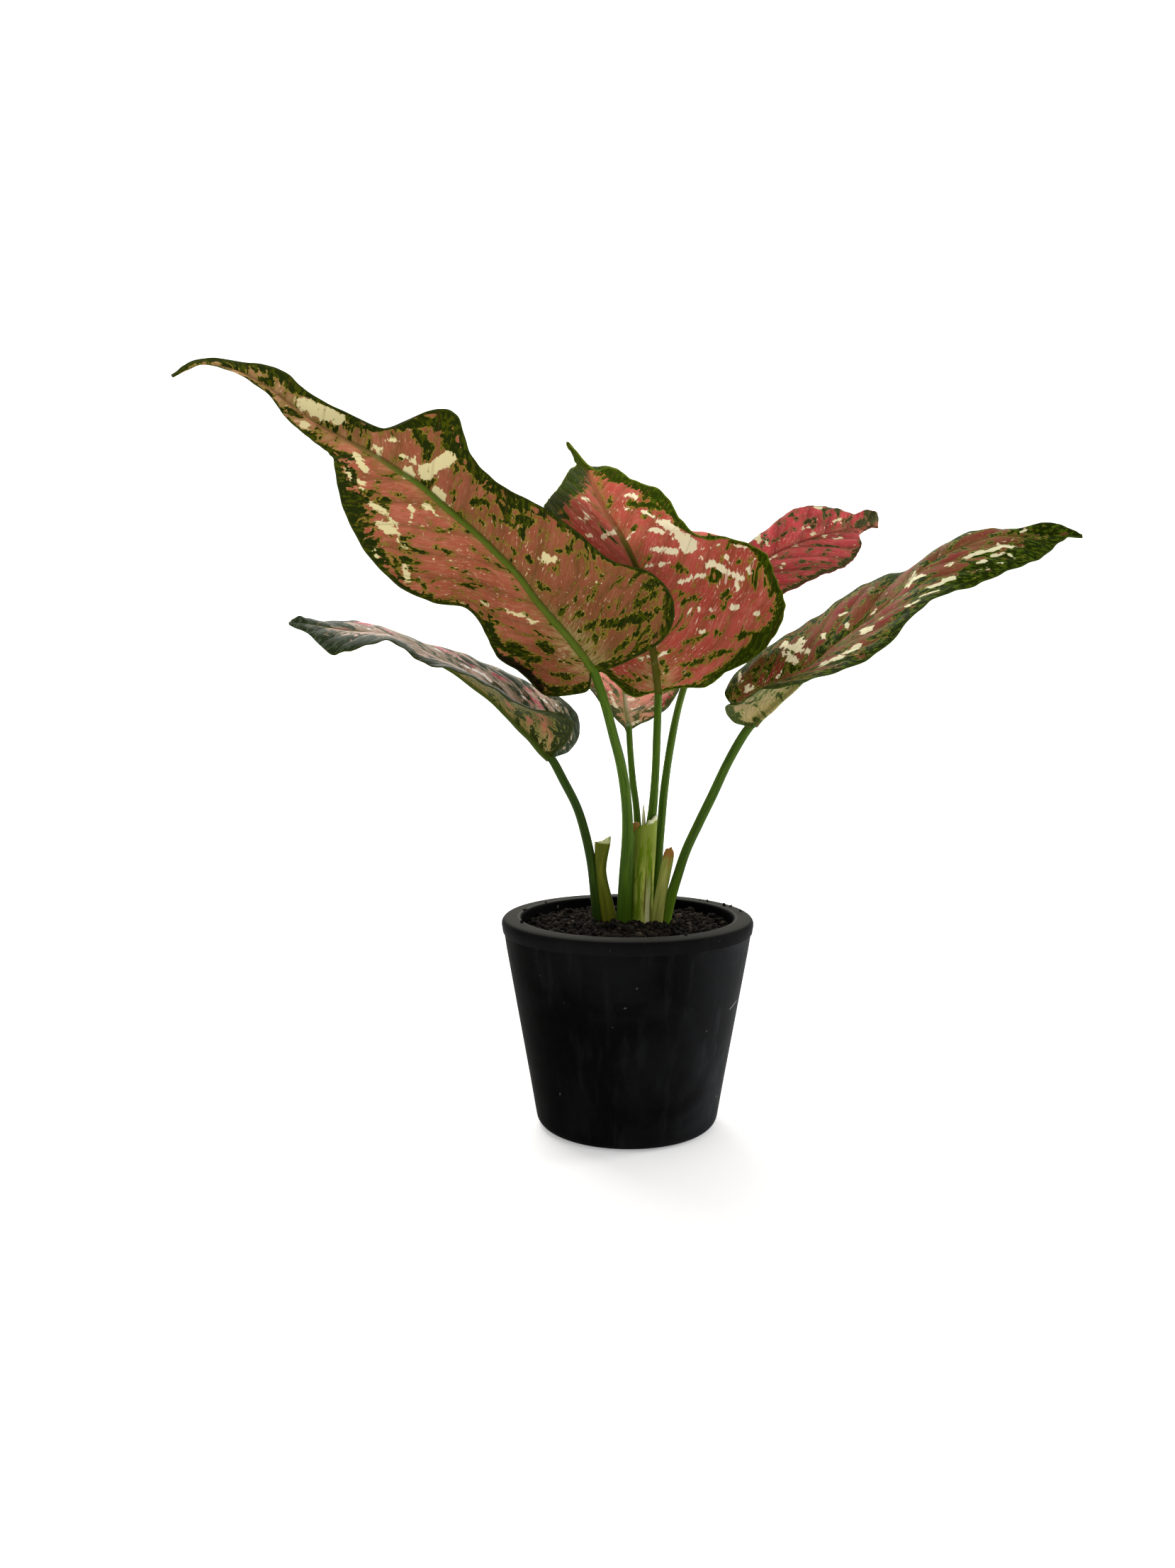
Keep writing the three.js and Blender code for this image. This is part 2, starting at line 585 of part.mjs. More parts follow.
function blade(leaf) {
  const curves = bladeCurves(leaf.blade);
  const shares = [0, 0.3, 0.65, 1]; // of the way from the side of the midrib to the margin
  const top = [];
  const bottom = [];
  for (let i = 0; i <= BLADE_STEPS; i++) {
    const u = i / BLADE_STEPS;
    const span = (curve) => curve.getPoint(u).distanceTo(curves.mid.getPoint(u));
    const rib = (half) => THREE.MathUtils.clamp(MIDRIB_HALF_WIDTH / half, 0.03, 0.3);
    const across = (half) => shares.map((s) => rib(half) + (1 - rib(half)) * s);
    const left = across(span(curves.left)).map((v) => -v).reverse();
    for (const v of [...left, 0, ...across(span(curves.right))]) {
      const here = bladePoint(leaf, curves, u, v);
      const step = 0.01;
      const low = Math.max(-1, v - step);
      const high = Math.min(1, v + step);
      const sideways = bladePoint(leaf, curves, u, high).sub(bladePoint(leaf, curves, u, low));
      const ahead = bladePoint(leaf, curves, Math.min(1, u + step), v);
      const along = ahead.sub(bladePoint(leaf, curves, Math.max(0, u - step), v));
      const normal = sideways.cross(along).normalize();
      const height = THREE.MathUtils.lerp(MIDRIB_TIP_HEIGHT, MIDRIB_HEIGHT, (1 - u) ** 1.3);
      const ridge = v === 0 ? height : 0;
      top.push(here.clone().addScaledVector(normal, BLADE_THICKNESS / 2));
      bottom.push(here.clone().addScaledVector(normal, -BLADE_THICKNESS / 2 - ridge));
    }
  }
  const columns = 2 * shares.length + 1;
  const triangles = [];
  for (let i = 0; i < BLADE_STEPS; i++)
    for (let j = 0; j + 1 < columns; j++) {
      const a = i * columns + j;
      const [b, c, d] = [a + columns, a + columns + 1, a + 1];
      triangles.push([a, d, b], [b, d, c]);
    }
  return solidOf(thicken(top, bottom, triangles));
}

// Assembly

const root = new THREE.Group();

function place(name, solid, colour, finish) {
  const mesh = new THREE.Mesh(
    geometryOf(solid),
    new THREE.MeshStandardMaterial({ color: colour, ...finish }),
  );
  mesh.name = name;
  root.add(mesh);
}

const leaves = Object.entries(LEAVES);
const stubs = Object.entries(OLD_STUBS);
const oldSolids = [...stubs.map(([, stub]) => oldStub(stub, GAP)), openSheath(SHEATH, GAP)];

let ground = soil().subtract(crownAndRoots(GAP));
for (const solid of oldSolids) ground = ground.subtract(solid);
for (const [, leaf] of leaves) ground = ground.subtract(petiole(leaf, GAP));

place("pot", pot(), "#1b1c1f", { roughness: 0.45, metalness: 0 });
place("soil", ground, "#2a221d", { roughness: 0.95, metalness: 0 });
place("stem_and_roots", crownAndRoots(), "#c9bb94", { roughness: 0.7, metalness: 0 });

for (const [name, stub] of stubs)
  place(name, oldStub(stub), "#8a8a3e", { roughness: 0.6, metalness: 0 });
place("old_sheath_middle", openSheath(SHEATH), "#a9b574", { roughness: 0.55, metalness: 0 });

for (const [name, leaf] of leaves) {
  let stalk = petiole(leaf);
  for (const solid of oldSolids) stalk = stalk.subtract(solid);
  place(name + "_petiole", stalk, STALK_GREEN, { roughness: 0.4, metalness: 0 });
  place(name + "_blade", blade(leaf).subtract(petiole(leaf, GAP)), leaf.colour, BLADE_FINISH);
}

export default root;
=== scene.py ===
# %% [markdown]
# # A potted Chinese evergreen
#
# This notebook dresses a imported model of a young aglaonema: a black nursery pot, coarse soil, upright
# green leaf stalks and six large blades in pink, green and cream. Each step says what the real thing
# is like, which ways there are to make it in Blender, and why one of them is used here.
#
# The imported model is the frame. It fixes every size, so each piece made below takes the place of one
# of its nodes and stays where that node is. All sizes are in metres, and tables are in millimetres.

# %% Load the frame
import math

import bpy
import numpy as np
from mathutils import Matrix, Vector


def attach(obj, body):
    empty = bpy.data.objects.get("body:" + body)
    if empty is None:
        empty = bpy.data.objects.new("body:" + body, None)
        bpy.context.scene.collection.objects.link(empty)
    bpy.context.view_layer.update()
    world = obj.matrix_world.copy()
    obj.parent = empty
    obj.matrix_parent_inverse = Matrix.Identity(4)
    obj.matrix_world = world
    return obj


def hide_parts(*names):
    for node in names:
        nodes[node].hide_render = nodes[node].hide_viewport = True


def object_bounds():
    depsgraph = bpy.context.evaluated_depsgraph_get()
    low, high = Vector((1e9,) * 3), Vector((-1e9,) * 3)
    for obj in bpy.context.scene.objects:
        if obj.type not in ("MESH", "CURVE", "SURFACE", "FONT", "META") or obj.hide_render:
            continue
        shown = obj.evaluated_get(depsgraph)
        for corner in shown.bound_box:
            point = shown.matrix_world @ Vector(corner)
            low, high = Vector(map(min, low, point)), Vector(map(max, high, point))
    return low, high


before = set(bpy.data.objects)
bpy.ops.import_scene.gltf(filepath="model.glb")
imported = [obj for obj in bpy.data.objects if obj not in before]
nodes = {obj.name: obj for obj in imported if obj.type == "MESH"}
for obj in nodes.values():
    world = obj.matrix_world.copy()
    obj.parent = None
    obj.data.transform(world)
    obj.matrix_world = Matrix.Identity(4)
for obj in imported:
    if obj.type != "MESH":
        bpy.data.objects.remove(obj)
cad_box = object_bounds()
size = cad_box[1] - cad_box[0]
print("CAD nodes:", len(nodes), "box in mm:", [round(1000 * edge) for edge in size])

# %% [markdown]
# ## The camera
#
# The photograph looks almost level at the plant, from a little over half a metre away, and slightly
# down. A camera could be aimed with a Track To constraint. Its axes are written into its matrix
# instead, because the same three vectors then say exactly where it looks.

# %% Place the camera
IMAGE_WIDTH, IMAGE_HEIGHT = 1658, 2212
FOCAL_PIXELS = 1975
POT_AXIS_COLUMN = 886
SENSOR = 36
CAMERA_PLACE, CAMERA_PITCH = (0, -0.55, 0.1915), 5.67

pitch = math.radians(CAMERA_PITCH)
yaw = math.atan((POT_AXIS_COLUMN - IMAGE_WIDTH / 2) / FOCAL_PIXELS)
forward = Vector((-math.sin(yaw) * math.cos(pitch), math.cos(yaw) * math.cos(pitch), -math.sin(pitch)))
rightward = Vector((math.cos(yaw), math.sin(yaw), 0))
upward = rightward.cross(forward)

camera = bpy.data.objects.new("camera", bpy.data.cameras.new("camera"))
camera.data.sensor_width = SENSOR
camera.data.lens = SENSOR * FOCAL_PIXELS / IMAGE_HEIGHT
turn = Matrix((rightward, upward, -forward)).transposed().to_4x4()
camera.matrix_world = Matrix.Translation(CAMERA_PLACE) @ turn
bpy.context.scene.collection.objects.link(camera)
bpy.context.scene.camera = camera
print("lens in mm:", round(camera.data.lens, 2))

# %% [markdown]
# ## Meshes from rows of numbers
#
# Leaves and stalks are easier to describe by formulas than to pull into shape, so their points
# come from NumPy arrays. One helper turns points and faces into a smooth object. It can also store
# numbers at each point, such as how far it lies from the margin, for a material to read.

# %% A mesh object with its own measures
MM = 0.001


def make_piece(name, points_mm, faces, measures=None):
    """A smooth object. A measure holds one number, or three, for each of its points."""
    mesh = bpy.data.meshes.new(name)
    mesh.from_pydata((np.asarray(points_mm) * MM).tolist(), [], faces)
    mesh.update()
    mesh.shade_smooth()
    for label, values in (measures or {}).items():
        values = np.asarray(values, np.float32)
        kind, field = ("FLOAT_VECTOR", "vector") if values.ndim == 2 else ("FLOAT", "value")
        mesh.attributes.new(label, kind, "POINT").data.foreach_set(field, values.ravel())
    piece = bpy.data.objects.new(name, mesh)
    bpy.context.scene.collection.objects.link(piece)
    return piece


# %% Faces between rings, and a curve through rows
def ring_faces(rings, around):
    """Quads between rings of points, and a flat cap on each end."""
    i, j = np.meshgrid(np.arange(rings - 1), np.arange(around), indexing="ij")
    k = (j + 1) % around
    quads = np.stack([i * around + j, i * around + k, (i + 1) * around + k, (i + 1) * around + j], -1)
    caps = [list(range(around))[::-1], list(range((rings - 1) * around, rings * around))]
    return quads.reshape(-1, 4).tolist() + caps


def through(rows, share):
    """Points of a smooth curve through rows of numbers, at shares of the way from first to last."""
    rows = np.asarray(rows, float)
    spot = np.clip(share, 0, 1) * (len(rows) - 1)
    i = np.minimum(spot.astype(int), len(rows) - 2)
    w = (spot - i)[..., None]
    held = np.vstack([2 * rows[0] - rows[1], rows, 2 * rows[-1] - rows[-2]])
    before, here, after, beyond = held[i], held[i + 1], held[i + 2], held[i + 3]
    leave, arrive = (after - before) / 2, (beyond - here) / 2
    return (
        (2 * here - 2 * after + leave + arrive) * w**3
        + (3 * after - 3 * here - 2 * leave - arrive) * w**2
        + leave * w
        + here
    )


# %% How much a mesh holds
def filled(piece):
    """Cubic centimetres inside a closed mesh. It is above 0 only if the faces point outwards."""
    mesh = piece.data
    mesh.calc_loop_triangles()
    corners = np.empty(3 * len(mesh.loop_triangles), int)
    mesh.loop_triangles.foreach_get("vertices", corners)
    places = np.empty(3 * len(mesh.vertices))
    mesh.vertices.foreach_get("co", places)
    a, b, c = (places.reshape(-1, 3)[corners.reshape(-1, 3)[:, k]] for k in range(3))
    return round(float(1e6 * (a * np.cross(b, c)).sum() / 6), 3)


def unit(vectors):
    return vectors / (np.linalg.norm(vectors, axis=-1, keepdims=True) + 1e-12)


halfway = through([[0], [1], [4]], np.array([0.25]))[0, 0]
print("halfway to its second point, a curve through 0, 1 and 4 is at", halfway)

# %% [markdown]
# ## Materials as sums
#
# A leaf's colours follow rules: green near the margin, cream in patches, a line of green along the
# midrib. Such rules read best as arithmetic. A small class wraps a socket and gives it Python's
# operators, so that `1 - mask` adds the Math node that works it out. Colours would turn grey in a
# Math node, so they go through Mix and Vector Math. Every other node comes from one method, which
# takes the node's type, its settings, and the values or links of its sockets.

# %% A number on its way through a node tree
class Wire:
    def __init__(self, bench, socket):
        self.bench = bench
        self.socket = socket

    def maths(self, operation, *numbers):
        return self.bench.wire("ShaderNodeMath", {"operation": operation}, dict(enumerate(numbers)))

    def __add__(self, other):
        return self.maths("ADD", self, other)

    __radd__ = __add__

    def __sub__(self, other):
        return self.maths("SUBTRACT", self, other)

    def __rsub__(self, other):
        return self.maths("SUBTRACT", other, self)

    def __mul__(self, other):
        return self.maths("MULTIPLY", self, other)

    __rmul__ = __mul__

    def __pow__(self, other):
        return self.maths("POWER", self, other)

    def __abs__(self):
        return self.maths("ABSOLUTE", self)

    def __mod__(self, other):
        return self.maths("FLOORED_MODULO", self, other)

    def over(self, other):
        return self.maths("MAXIMUM", self, other)

    def rise(self, low, high):
        """0 below low, 1 above high, and a soft step between."""
        ends = {"Value": self, "From Min": low, "From Max": high, "To Min": 0.0, "To Max": 1.0}
        return self.bench.wire("ShaderNodeMapRange", {"interpolation_type": "SMOOTHSTEP"}, ends)

    def stretched(self, *factors):
        return self.bench.wire("ShaderNodeVectorMath", {"operation": "MULTIPLY"}, {0: self, 1: factors})

    def parts(self):
        """The x, y and z of a place."""
        apart = self.bench.node("ShaderNodeSeparateXYZ", None, {0: self})
        return [Wire(self.bench, part) for part in apart.outputs]


# %% Colours as they look on a screen
def colour(code):
    """A colour as it looks on a screen, such as "#33560f", as Blender's linear numbers."""
    parts = [int(code[i : i + 2], 16) / 255 for i in (1, 3, 5)]
    return tuple(p / 12.92 if p <= 0.04045 else ((p + 0.055) / 1.055) ** 2.4 for p in parts) + (1.0,)


def tinted(value):
    return colour(value) if isinstance(value, str) and value.startswith("#") else value


# %% A bench on which a tree is built
class Bench:
    def __init__(self, tree):
        self.tree = tree
        self.tree.nodes.clear()

    def node(self, kind, settings=None, sockets=None):
        made = self.tree.nodes.new(kind)
        for name, value in (settings or {}).items():
            setattr(made, name, value)
        for key, value in (sockets or {}).items():
            source = value.socket if isinstance(value, Wire) else value
            if isinstance(source, bpy.types.NodeSocket):
                self.tree.links.new(source, made.inputs[key])
            else:
                made.inputs[key].default_value = tinted(source)
        return made

    def wire(self, kind, settings=None, sockets=None, output=0):
        return Wire(self, self.node(kind, settings, sockets).outputs[output])

    def measure(self, label, output="Fac"):
        return self.wire("ShaderNodeAttribute", {"attribute_name": label}, output=output)

    def noise(self, place, scale, detail=2.0, roughness=0.5, distortion=0.0):
        values = {"Vector": place, "Scale": scale, "Detail": detail, "Roughness": roughness}
        return self.wire("ShaderNodeTexNoise", None, {**values, "Distortion": distortion})

    def mix(self, share, first, second):
        ends = {0: share, 6: first, 7: second}
        return self.wire("ShaderNodeMix", {"data_type": "RGBA"}, ends, output=2)

    def swell(self, height, reach, strength):
        return self.wire("ShaderNodeBump", None, {"Height": height, "Distance": reach, "Strength": strength})


# %% From a bench to a material
def finish_of(name):
    """A new, empty material and the bench for its nodes."""
    material = bpy.data.materials.new(name)
    material.use_nodes = True
    return material, Bench(material.node_tree)


def surface_of(bench, base, roughness, shine, normal=None):
    """One Principled surface. shine is how strongly it mirrors, 0.5 for most plastics."""
    sockets = {"Base Color": base, "Roughness": roughness, "Specular IOR Level": shine}
    if normal is not None:
        sockets["Normal"] = normal
    return bench.wire("ShaderNodeBsdfPrincipled", None, sockets)


def close_finish(bench, surface):
    bench.node("ShaderNodeOutputMaterial", None, {"Surface": surface})


def wear(piece, look):
    """Gives a piece its finish."""
    piece.data.materials.append(look)
    return piece


print("a leaf green in linear numbers:", [round(part, 3) for part in colour("#33560f")])

# %% [markdown]
# ## The pot, turned by Geometry Nodes
#
# A nursery pot is moulded round one axis: a wall that leans out, a broad rim, a flat floor with drain
# holes. A lathe could be a Screw modifier or a spun bmesh. Geometry Nodes keep the rule in sight: the
# profile is swept round a circle, and a ring of cylinders is cut out of the floor.

# %% The profile of the pot
POT_HEIGHT, RIM_RADIUS, MOUTH_RADIUS = 84.5, 50.0, 42.0
LIP_HEIGHT, LIP_ROUNDING, MOUTH_ROUNDING = 6.0, 2.6, 1.5
WALL_TOP_RADIUS, WALL_FOOT_RADIUS, FOOT_ROUNDING = 49.2, 35.5, 5.4
INNER_FLOOR_RADIUS, FLOOR_THICKNESS = 32.5, 3.5
SHOULDER_ROUNDING = 0.35


def arc(x, z, radius, start, end, steps):
    turns = np.radians(np.linspace(start, end, steps + 1))
    return [(x + radius * math.cos(a), z + radius * math.sin(a)) for a in turns]


def wall_radius(z):
    return WALL_FOOT_RADIUS + (WALL_TOP_RADIUS - WALL_FOOT_RADIUS) * z / (POT_HEIGHT - LIP_HEIGHT)


shoulder = POT_HEIGHT - LIP_HEIGHT
pot_profile = [
    (0.0, 0.0),
    *arc(wall_radius(FOOT_ROUNDING) - FOOT_ROUNDING, FOOT_ROUNDING, FOOT_ROUNDING, -90, -10, 10),
    *[(wall_radius(z), z) for z in (20, 40, 60, 72)],
    *arc(wall_radius(shoulder) + 0.15, shoulder - SHOULDER_ROUNDING, SHOULDER_ROUNDING, 180, 100, 3),
    (RIM_RADIUS - 0.45, shoulder + 0.25),
    *arc(RIM_RADIUS - LIP_ROUNDING, POT_HEIGHT - LIP_ROUNDING, LIP_ROUNDING, -12, 84, 12),
    (RIM_RADIUS - 4.5, POT_HEIGHT + 0.05),
    *arc(MOUTH_RADIUS + MOUTH_ROUNDING, POT_HEIGHT - MOUTH_ROUNDING, MOUTH_ROUNDING, 90, 180, 8),
    (INNER_FLOOR_RADIUS, FLOOR_THICKNESS),
    (0.0, FLOOR_THICKNESS),
]
print("points in the profile:", len(pot_profile))

# %% Inputs and outputs of a Geometry Nodes tree
SOCKETS = {int: "NodeSocketInt", float: "NodeSocketFloat", bpy.types.Material: "NodeSocketMaterial"}


def geometry_tree(name, inputs):
    """A tree with a mesh coming in and one going out, and named inputs with their first values."""
    tree = bpy.data.node_groups.new(name, "GeometryNodeTree")
    bench = Bench(tree)
    tree.interface.new_socket("Geometry", in_out="INPUT", socket_type="NodeSocketGeometry")
    for label, value in inputs.items():
        kind = next(SOCKETS[t] for t in SOCKETS if isinstance(value, t))
        tree.interface.new_socket(label, in_out="INPUT", socket_type=kind)
    tree.interface.new_socket("Geometry", in_out="OUTPUT", socket_type="NodeSocketGeometry")
    return bench, bench.node("NodeGroupInput")


def end_tree(bench, source, mesh):
    """Real, smooth copies with their material, which is what leaves every tree here."""
    real = bench.wire("GeometryNodeRealizeInstances", None, {0: mesh})
    shaded = bench.wire("GeometryNodeSetShadeSmooth", None, {"Geometry": real, "Shade Smooth": True})
    worn = {"Geometry": shaded, "Material": source.outputs["Material"]}
    last = bench.wire("GeometryNodeSetMaterial", None, worn)
    bench.node("NodeGroupOutput", None, {0: last})
    return bench.tree


# %% Run a tree on a mesh
def grown(name, base, tree, inputs):
    """Runs a tree on a mesh and gives the result as a plain mesh object."""
    modifier = base.modifiers.new(tree.name, "NODES")
    modifier.node_group = tree
    for item in tree.interface.items_tree:
        if item.in_out == "INPUT" and item.name in inputs:
            modifier[item.identifier] = inputs[item.name]
    evaluated = base.evaluated_get(bpy.context.evaluated_depsgraph_get())
    mesh = bpy.data.meshes.new_from_object(evaluated)
    base.modifiers.remove(modifier)
    mesh.name = name
    bpy.data.objects.remove(base)
    piece = bpy.data.objects.new(name, mesh)
    bpy.context.scene.collection.objects.link(piece)
    print(name, "faces:", len(mesh.polygons))
    return piece


# %% The lathe
def lathe_tree(first):
    bench, source = geometry_tree("turned pot", first)
    profile = bench.wire("GeometryNodeMeshToCurve", None, {0: source.outputs["Geometry"]})
    path = bench.wire(
        "GeometryNodeCurvePrimitiveCircle", None,
        {"Resolution": source.outputs["Sides"], "Radius": source.outputs["Path Radius"]},
    )
    swept = bench.wire("GeometryNodeCurveToMesh", None, {0: path, 1: profile})
    welded = bench.wire("GeometryNodeMergeByDistance", None, {"Geometry": swept, "Distance": 1e-5})
    drill = bench.wire(
        "GeometryNodeMeshCylinder", None,
        {"Vertices": 24, "Radius": source.outputs["Hole Radius"], "Depth": 0.02},
    )
    ring = bench.wire(
        "GeometryNodeMeshCircle", None,
        {"Vertices": source.outputs["Holes"], "Radius": source.outputs["Hole Circle"]},
    )
    drills = bench.wire("GeometryNodeInstanceOnPoints", None, {"Points": ring, "Instance": drill})
    real = bench.wire("GeometryNodeRealizeInstances", None, {0: drills})
    pierced = bench.wire("GeometryNodeMeshBoolean", {"operation": "DIFFERENCE"}, {0: welded, 1: real})
    return end_tree(bench, source, pierced)


# %% [markdown]
# ## The pot's plastic
#
# The plastic is nearly black and satin. What keeps it from looking flat in the photograph is light
# wear (faint upright smears on the wall, a duller rim that is a lighter grey on top, a few specks and
# one short scratch) together with painted light: a painted sheen on the right side of the wall,
# painted shade on its left side and on the inner wall above the soil, and a painted highlight along
# the inner edge of the rim. All of it is worked out from the place on the pot, so that it stays put
# in every view.

# %% Satin black plastic
# In metres: where the scratch is, the heights between which the finish changes, and the same for
# the distance from the axis.
SCRATCH = (0.0411, 0.0527)
RIM_TOP, LIP_FOOT, INNER_SHADE_FROM = (0.0835, 0.0844), (0.0783, 0.0790), (0.0700, 0.0705)
MOUTH, EDGE_HIGHLIGHT_OUTSIDE, EDGE_HIGHLIGHT_INSIDE = (0.0421, 0.0432), (0.0431, 0.0440), (0.0418, 0.0424)


def plastic_finish():
    material, bench = finish_of("satin black plastic")
    place = bench.wire("ShaderNodeTexCoord", output="Object")
    x, y, z = place.parts()
    radius = (x * x + y * y) ** 0.5
    rim = z.rise(*RIM_TOP)
    lip = z.rise(*LIP_FOOT)
    # inside is the inner wall above the soil, which gets painted shade below.
    inside = z.rise(*INNER_SHADE_FROM) * (1 - radius.rise(*MOUTH))
    smears = bench.noise(place.stretched(1.0, 1.0, 0.1), 160.0, 4.0, 0.65)
    clouds = bench.noise(place, 26.0, 4.0, 0.6, 0.6)
    grain = bench.noise(place, 1500.0, 2.0)
    # Painted sheen: the right side of the wall is made lighter, and its wear shows more strongly there;
    # shown is the wear together with this painted sheen.
    painted_right_sheen = x.rise(0.012, 0.046) * (1 - lip)
    worn = clouds.rise(0.42, 0.72) * 0.35 + smears.rise(0.5, 0.75) * 0.4
    shown = worn * (0.25 + painted_right_sheen * 0.75) + painted_right_sheen * 0.28
    # Painted shade: the plastic is made a little darker towards its left side.
    plain = bench.mix(x.rise(-0.045, 0.0), "#030202", "#080809")
    wall = bench.mix(shown, plain, "#3a3c3e")
    speck = bench.noise(place, 420.0, 1.0).rise(0.79, 0.81)
    banded = bench.mix(lip * 0.5, wall, "#171718")
    # The rim top is duller and a lighter grey, in cloudy patches.
    topped = bench.mix(rim * (0.5 + clouds * 0.5), banded, "#44443f")
    # Painted highlight: a lighter line along the inner edge of the rim top.
    edge = rim * (1 - radius.rise(*EDGE_HIGHLIGHT_OUTSIDE)) * radius.rise(*EDGE_HIGHLIGHT_INSIDE)
    edged = bench.mix(edge * 0.6, topped, "#5c5c58")
    # Painted shade: the inner wall above the soil is made darker.
    dark = bench.mix(inside, edged, "#060606")
    across = (x - SCRATCH[0]) * 0.5 + (z - SCRATCH[1]) * -0.87
    aside = (x - SCRATCH[0]) * 0.87 + (z - SCRATCH[1]) * 0.5
    within = (1 - abs(across).rise(0.0001, 0.0003)) * (1 - abs(aside).rise(0.0014, 0.0022))
    scratch = within * (1 - y.rise(-0.01, 0.0))
    scratched = bench.mix(scratch * 0.7, dark, "#8a8a86")
    specked = bench.mix(speck * 0.35, scratched, "#6a6a66")
    roughness = 0.4 + clouds * 0.14 + smears * 0.12 + rim * 0.1
    bumps = bench.swell(grain * 0.6 + smears * 0.8, 0.00012, 0.35)
    close_finish(bench, surface_of(bench, specked, roughness, 0.006, bumps))
    return material


# %% Make the pot
PATH_RADIUS, SIDES = 30.0, 144
HOLES, HOLE_RADIUS, HOLE_CIRCLE = 6, 3.5, 20.0
pot_inputs = {
    "Sides": SIDES,
    "Path Radius": PATH_RADIUS * MM,
    "Holes": HOLES,
    "Hole Radius": HOLE_RADIUS * MM,
    "Hole Circle": HOLE_CIRCLE * MM,
    "Material": plastic_finish(),
}
profile_points = [(r - PATH_RADIUS, -z, 0) for r, z in reversed(pot_profile)]
profile = make_piece("profile", profile_points, [])
profile.data.edges.add(len(pot_profile) - 1)
steps = np.arange(len(pot_profile) - 1)
profile.data.edges.foreach_set("vertices", np.stack([steps, steps + 1], -1).ravel())
pot = grown("pot_shell", profile, lathe_tree(pot_inputs), pot_inputs)
corners = np.array([v.co for v in pot.data.vertices])
print("pot from", (corners.min(0) * 1000).round(1), "to", (corners.max(0) * 1000).round(1))
print("its plastic in cubic cm:", filled(pot))

# %% [markdown]
# ## The soil and its grains
#
# The soil is a coarse dark mix. Its body is one closed mesh that fills the pot and is lumpy on top.
# What the eye sees is grains, hundreds of them, each a little different. A particle system or a
# texture could stand for them, but grains made by Geometry Nodes are real lumps at any angle: each
# point of a scattered set gets a small ball with its own size and turn, and noise dents them all.

# %% The body of the soil
SOIL_WALL_HEIGHT, SOIL_MOUND, SOIL_MOUND_RADIUS, SOIL_LUMP, CLEARANCE = 79.6, 2.4, 18.0, 0.45, 0.3


def inner_radius(z):
    share = (z - FLOOR_THICKNESS) / (POT_HEIGHT - MOUTH_ROUNDING - FLOOR_THICKNESS)
    return INNER_FLOOR_RADIUS + (MOUTH_RADIUS - INNER_FLOOR_RADIUS) * share


def soil_height(x, y):
    lumps = np.sin(1.13 * x + 0.4) * np.sin(1.27 * y + 1.1) + np.sin(0.71 * x - 0.93 * y + 2.3)
    mound = SOIL_MOUND * np.exp(-((np.hypot(x, y) / SOIL_MOUND_RADIUS) ** 2))
    return SOIL_WALL_HEIGHT + mound + SOIL_LUMP * lumps


def soil_body():
    around, floor = 120, FLOOR_THICKNESS + CLEARANCE
    reach = inner_radius(SOIL_WALL_HEIGHT) - CLEARANCE
    rows = [(0.5, floor), (INNER_FLOOR_RADIUS - CLEARANCE, floor)]
    rows += [(reach * share, None) for share in np.linspace(1, 0.01, 42)]
    turns = 2 * np.pi * np.arange(around) / around
    points = []
    for radius, height in rows:
        x, y = radius * np.cos(turns), radius * np.sin(turns)
        z = soil_height(x, y) if height is None else np.full(around, height)
        points.append(np.stack([x, y, z], -1))
    return make_piece("soil_body", np.concatenate(points), ring_faces(len(rows), around))


# %% A finish for soil
def soil_finish():
    material, bench = finish_of("dark potting mix")
    place = bench.wire("ShaderNodeTexCoord", output="Object")
    shade = bench.measure("shade")
    crumbs = bench.noise(place, 900.0, 4.0, 0.65)
    dark = bench.mix(shade.rise(0.1, 0.85), "#0c0a08", "#25211b")
    brown = bench.mix(shade.rise(0.9, 0.96), dark, "#4d4235")
    worn = bench.mix(crumbs.rise(0.45, 0.7) * 0.5, brown, "#3b372f")
    bumps = bench.swell(crumbs, 0.0004, 0.8)
    close_finish(bench, surface_of(bench, worn, 0.9, 0.06, bumps))
    return material


soil_look = soil_finish()
soil = wear(soil_body(), soil_look)
print("soil in cubic cm:", filled(soil))


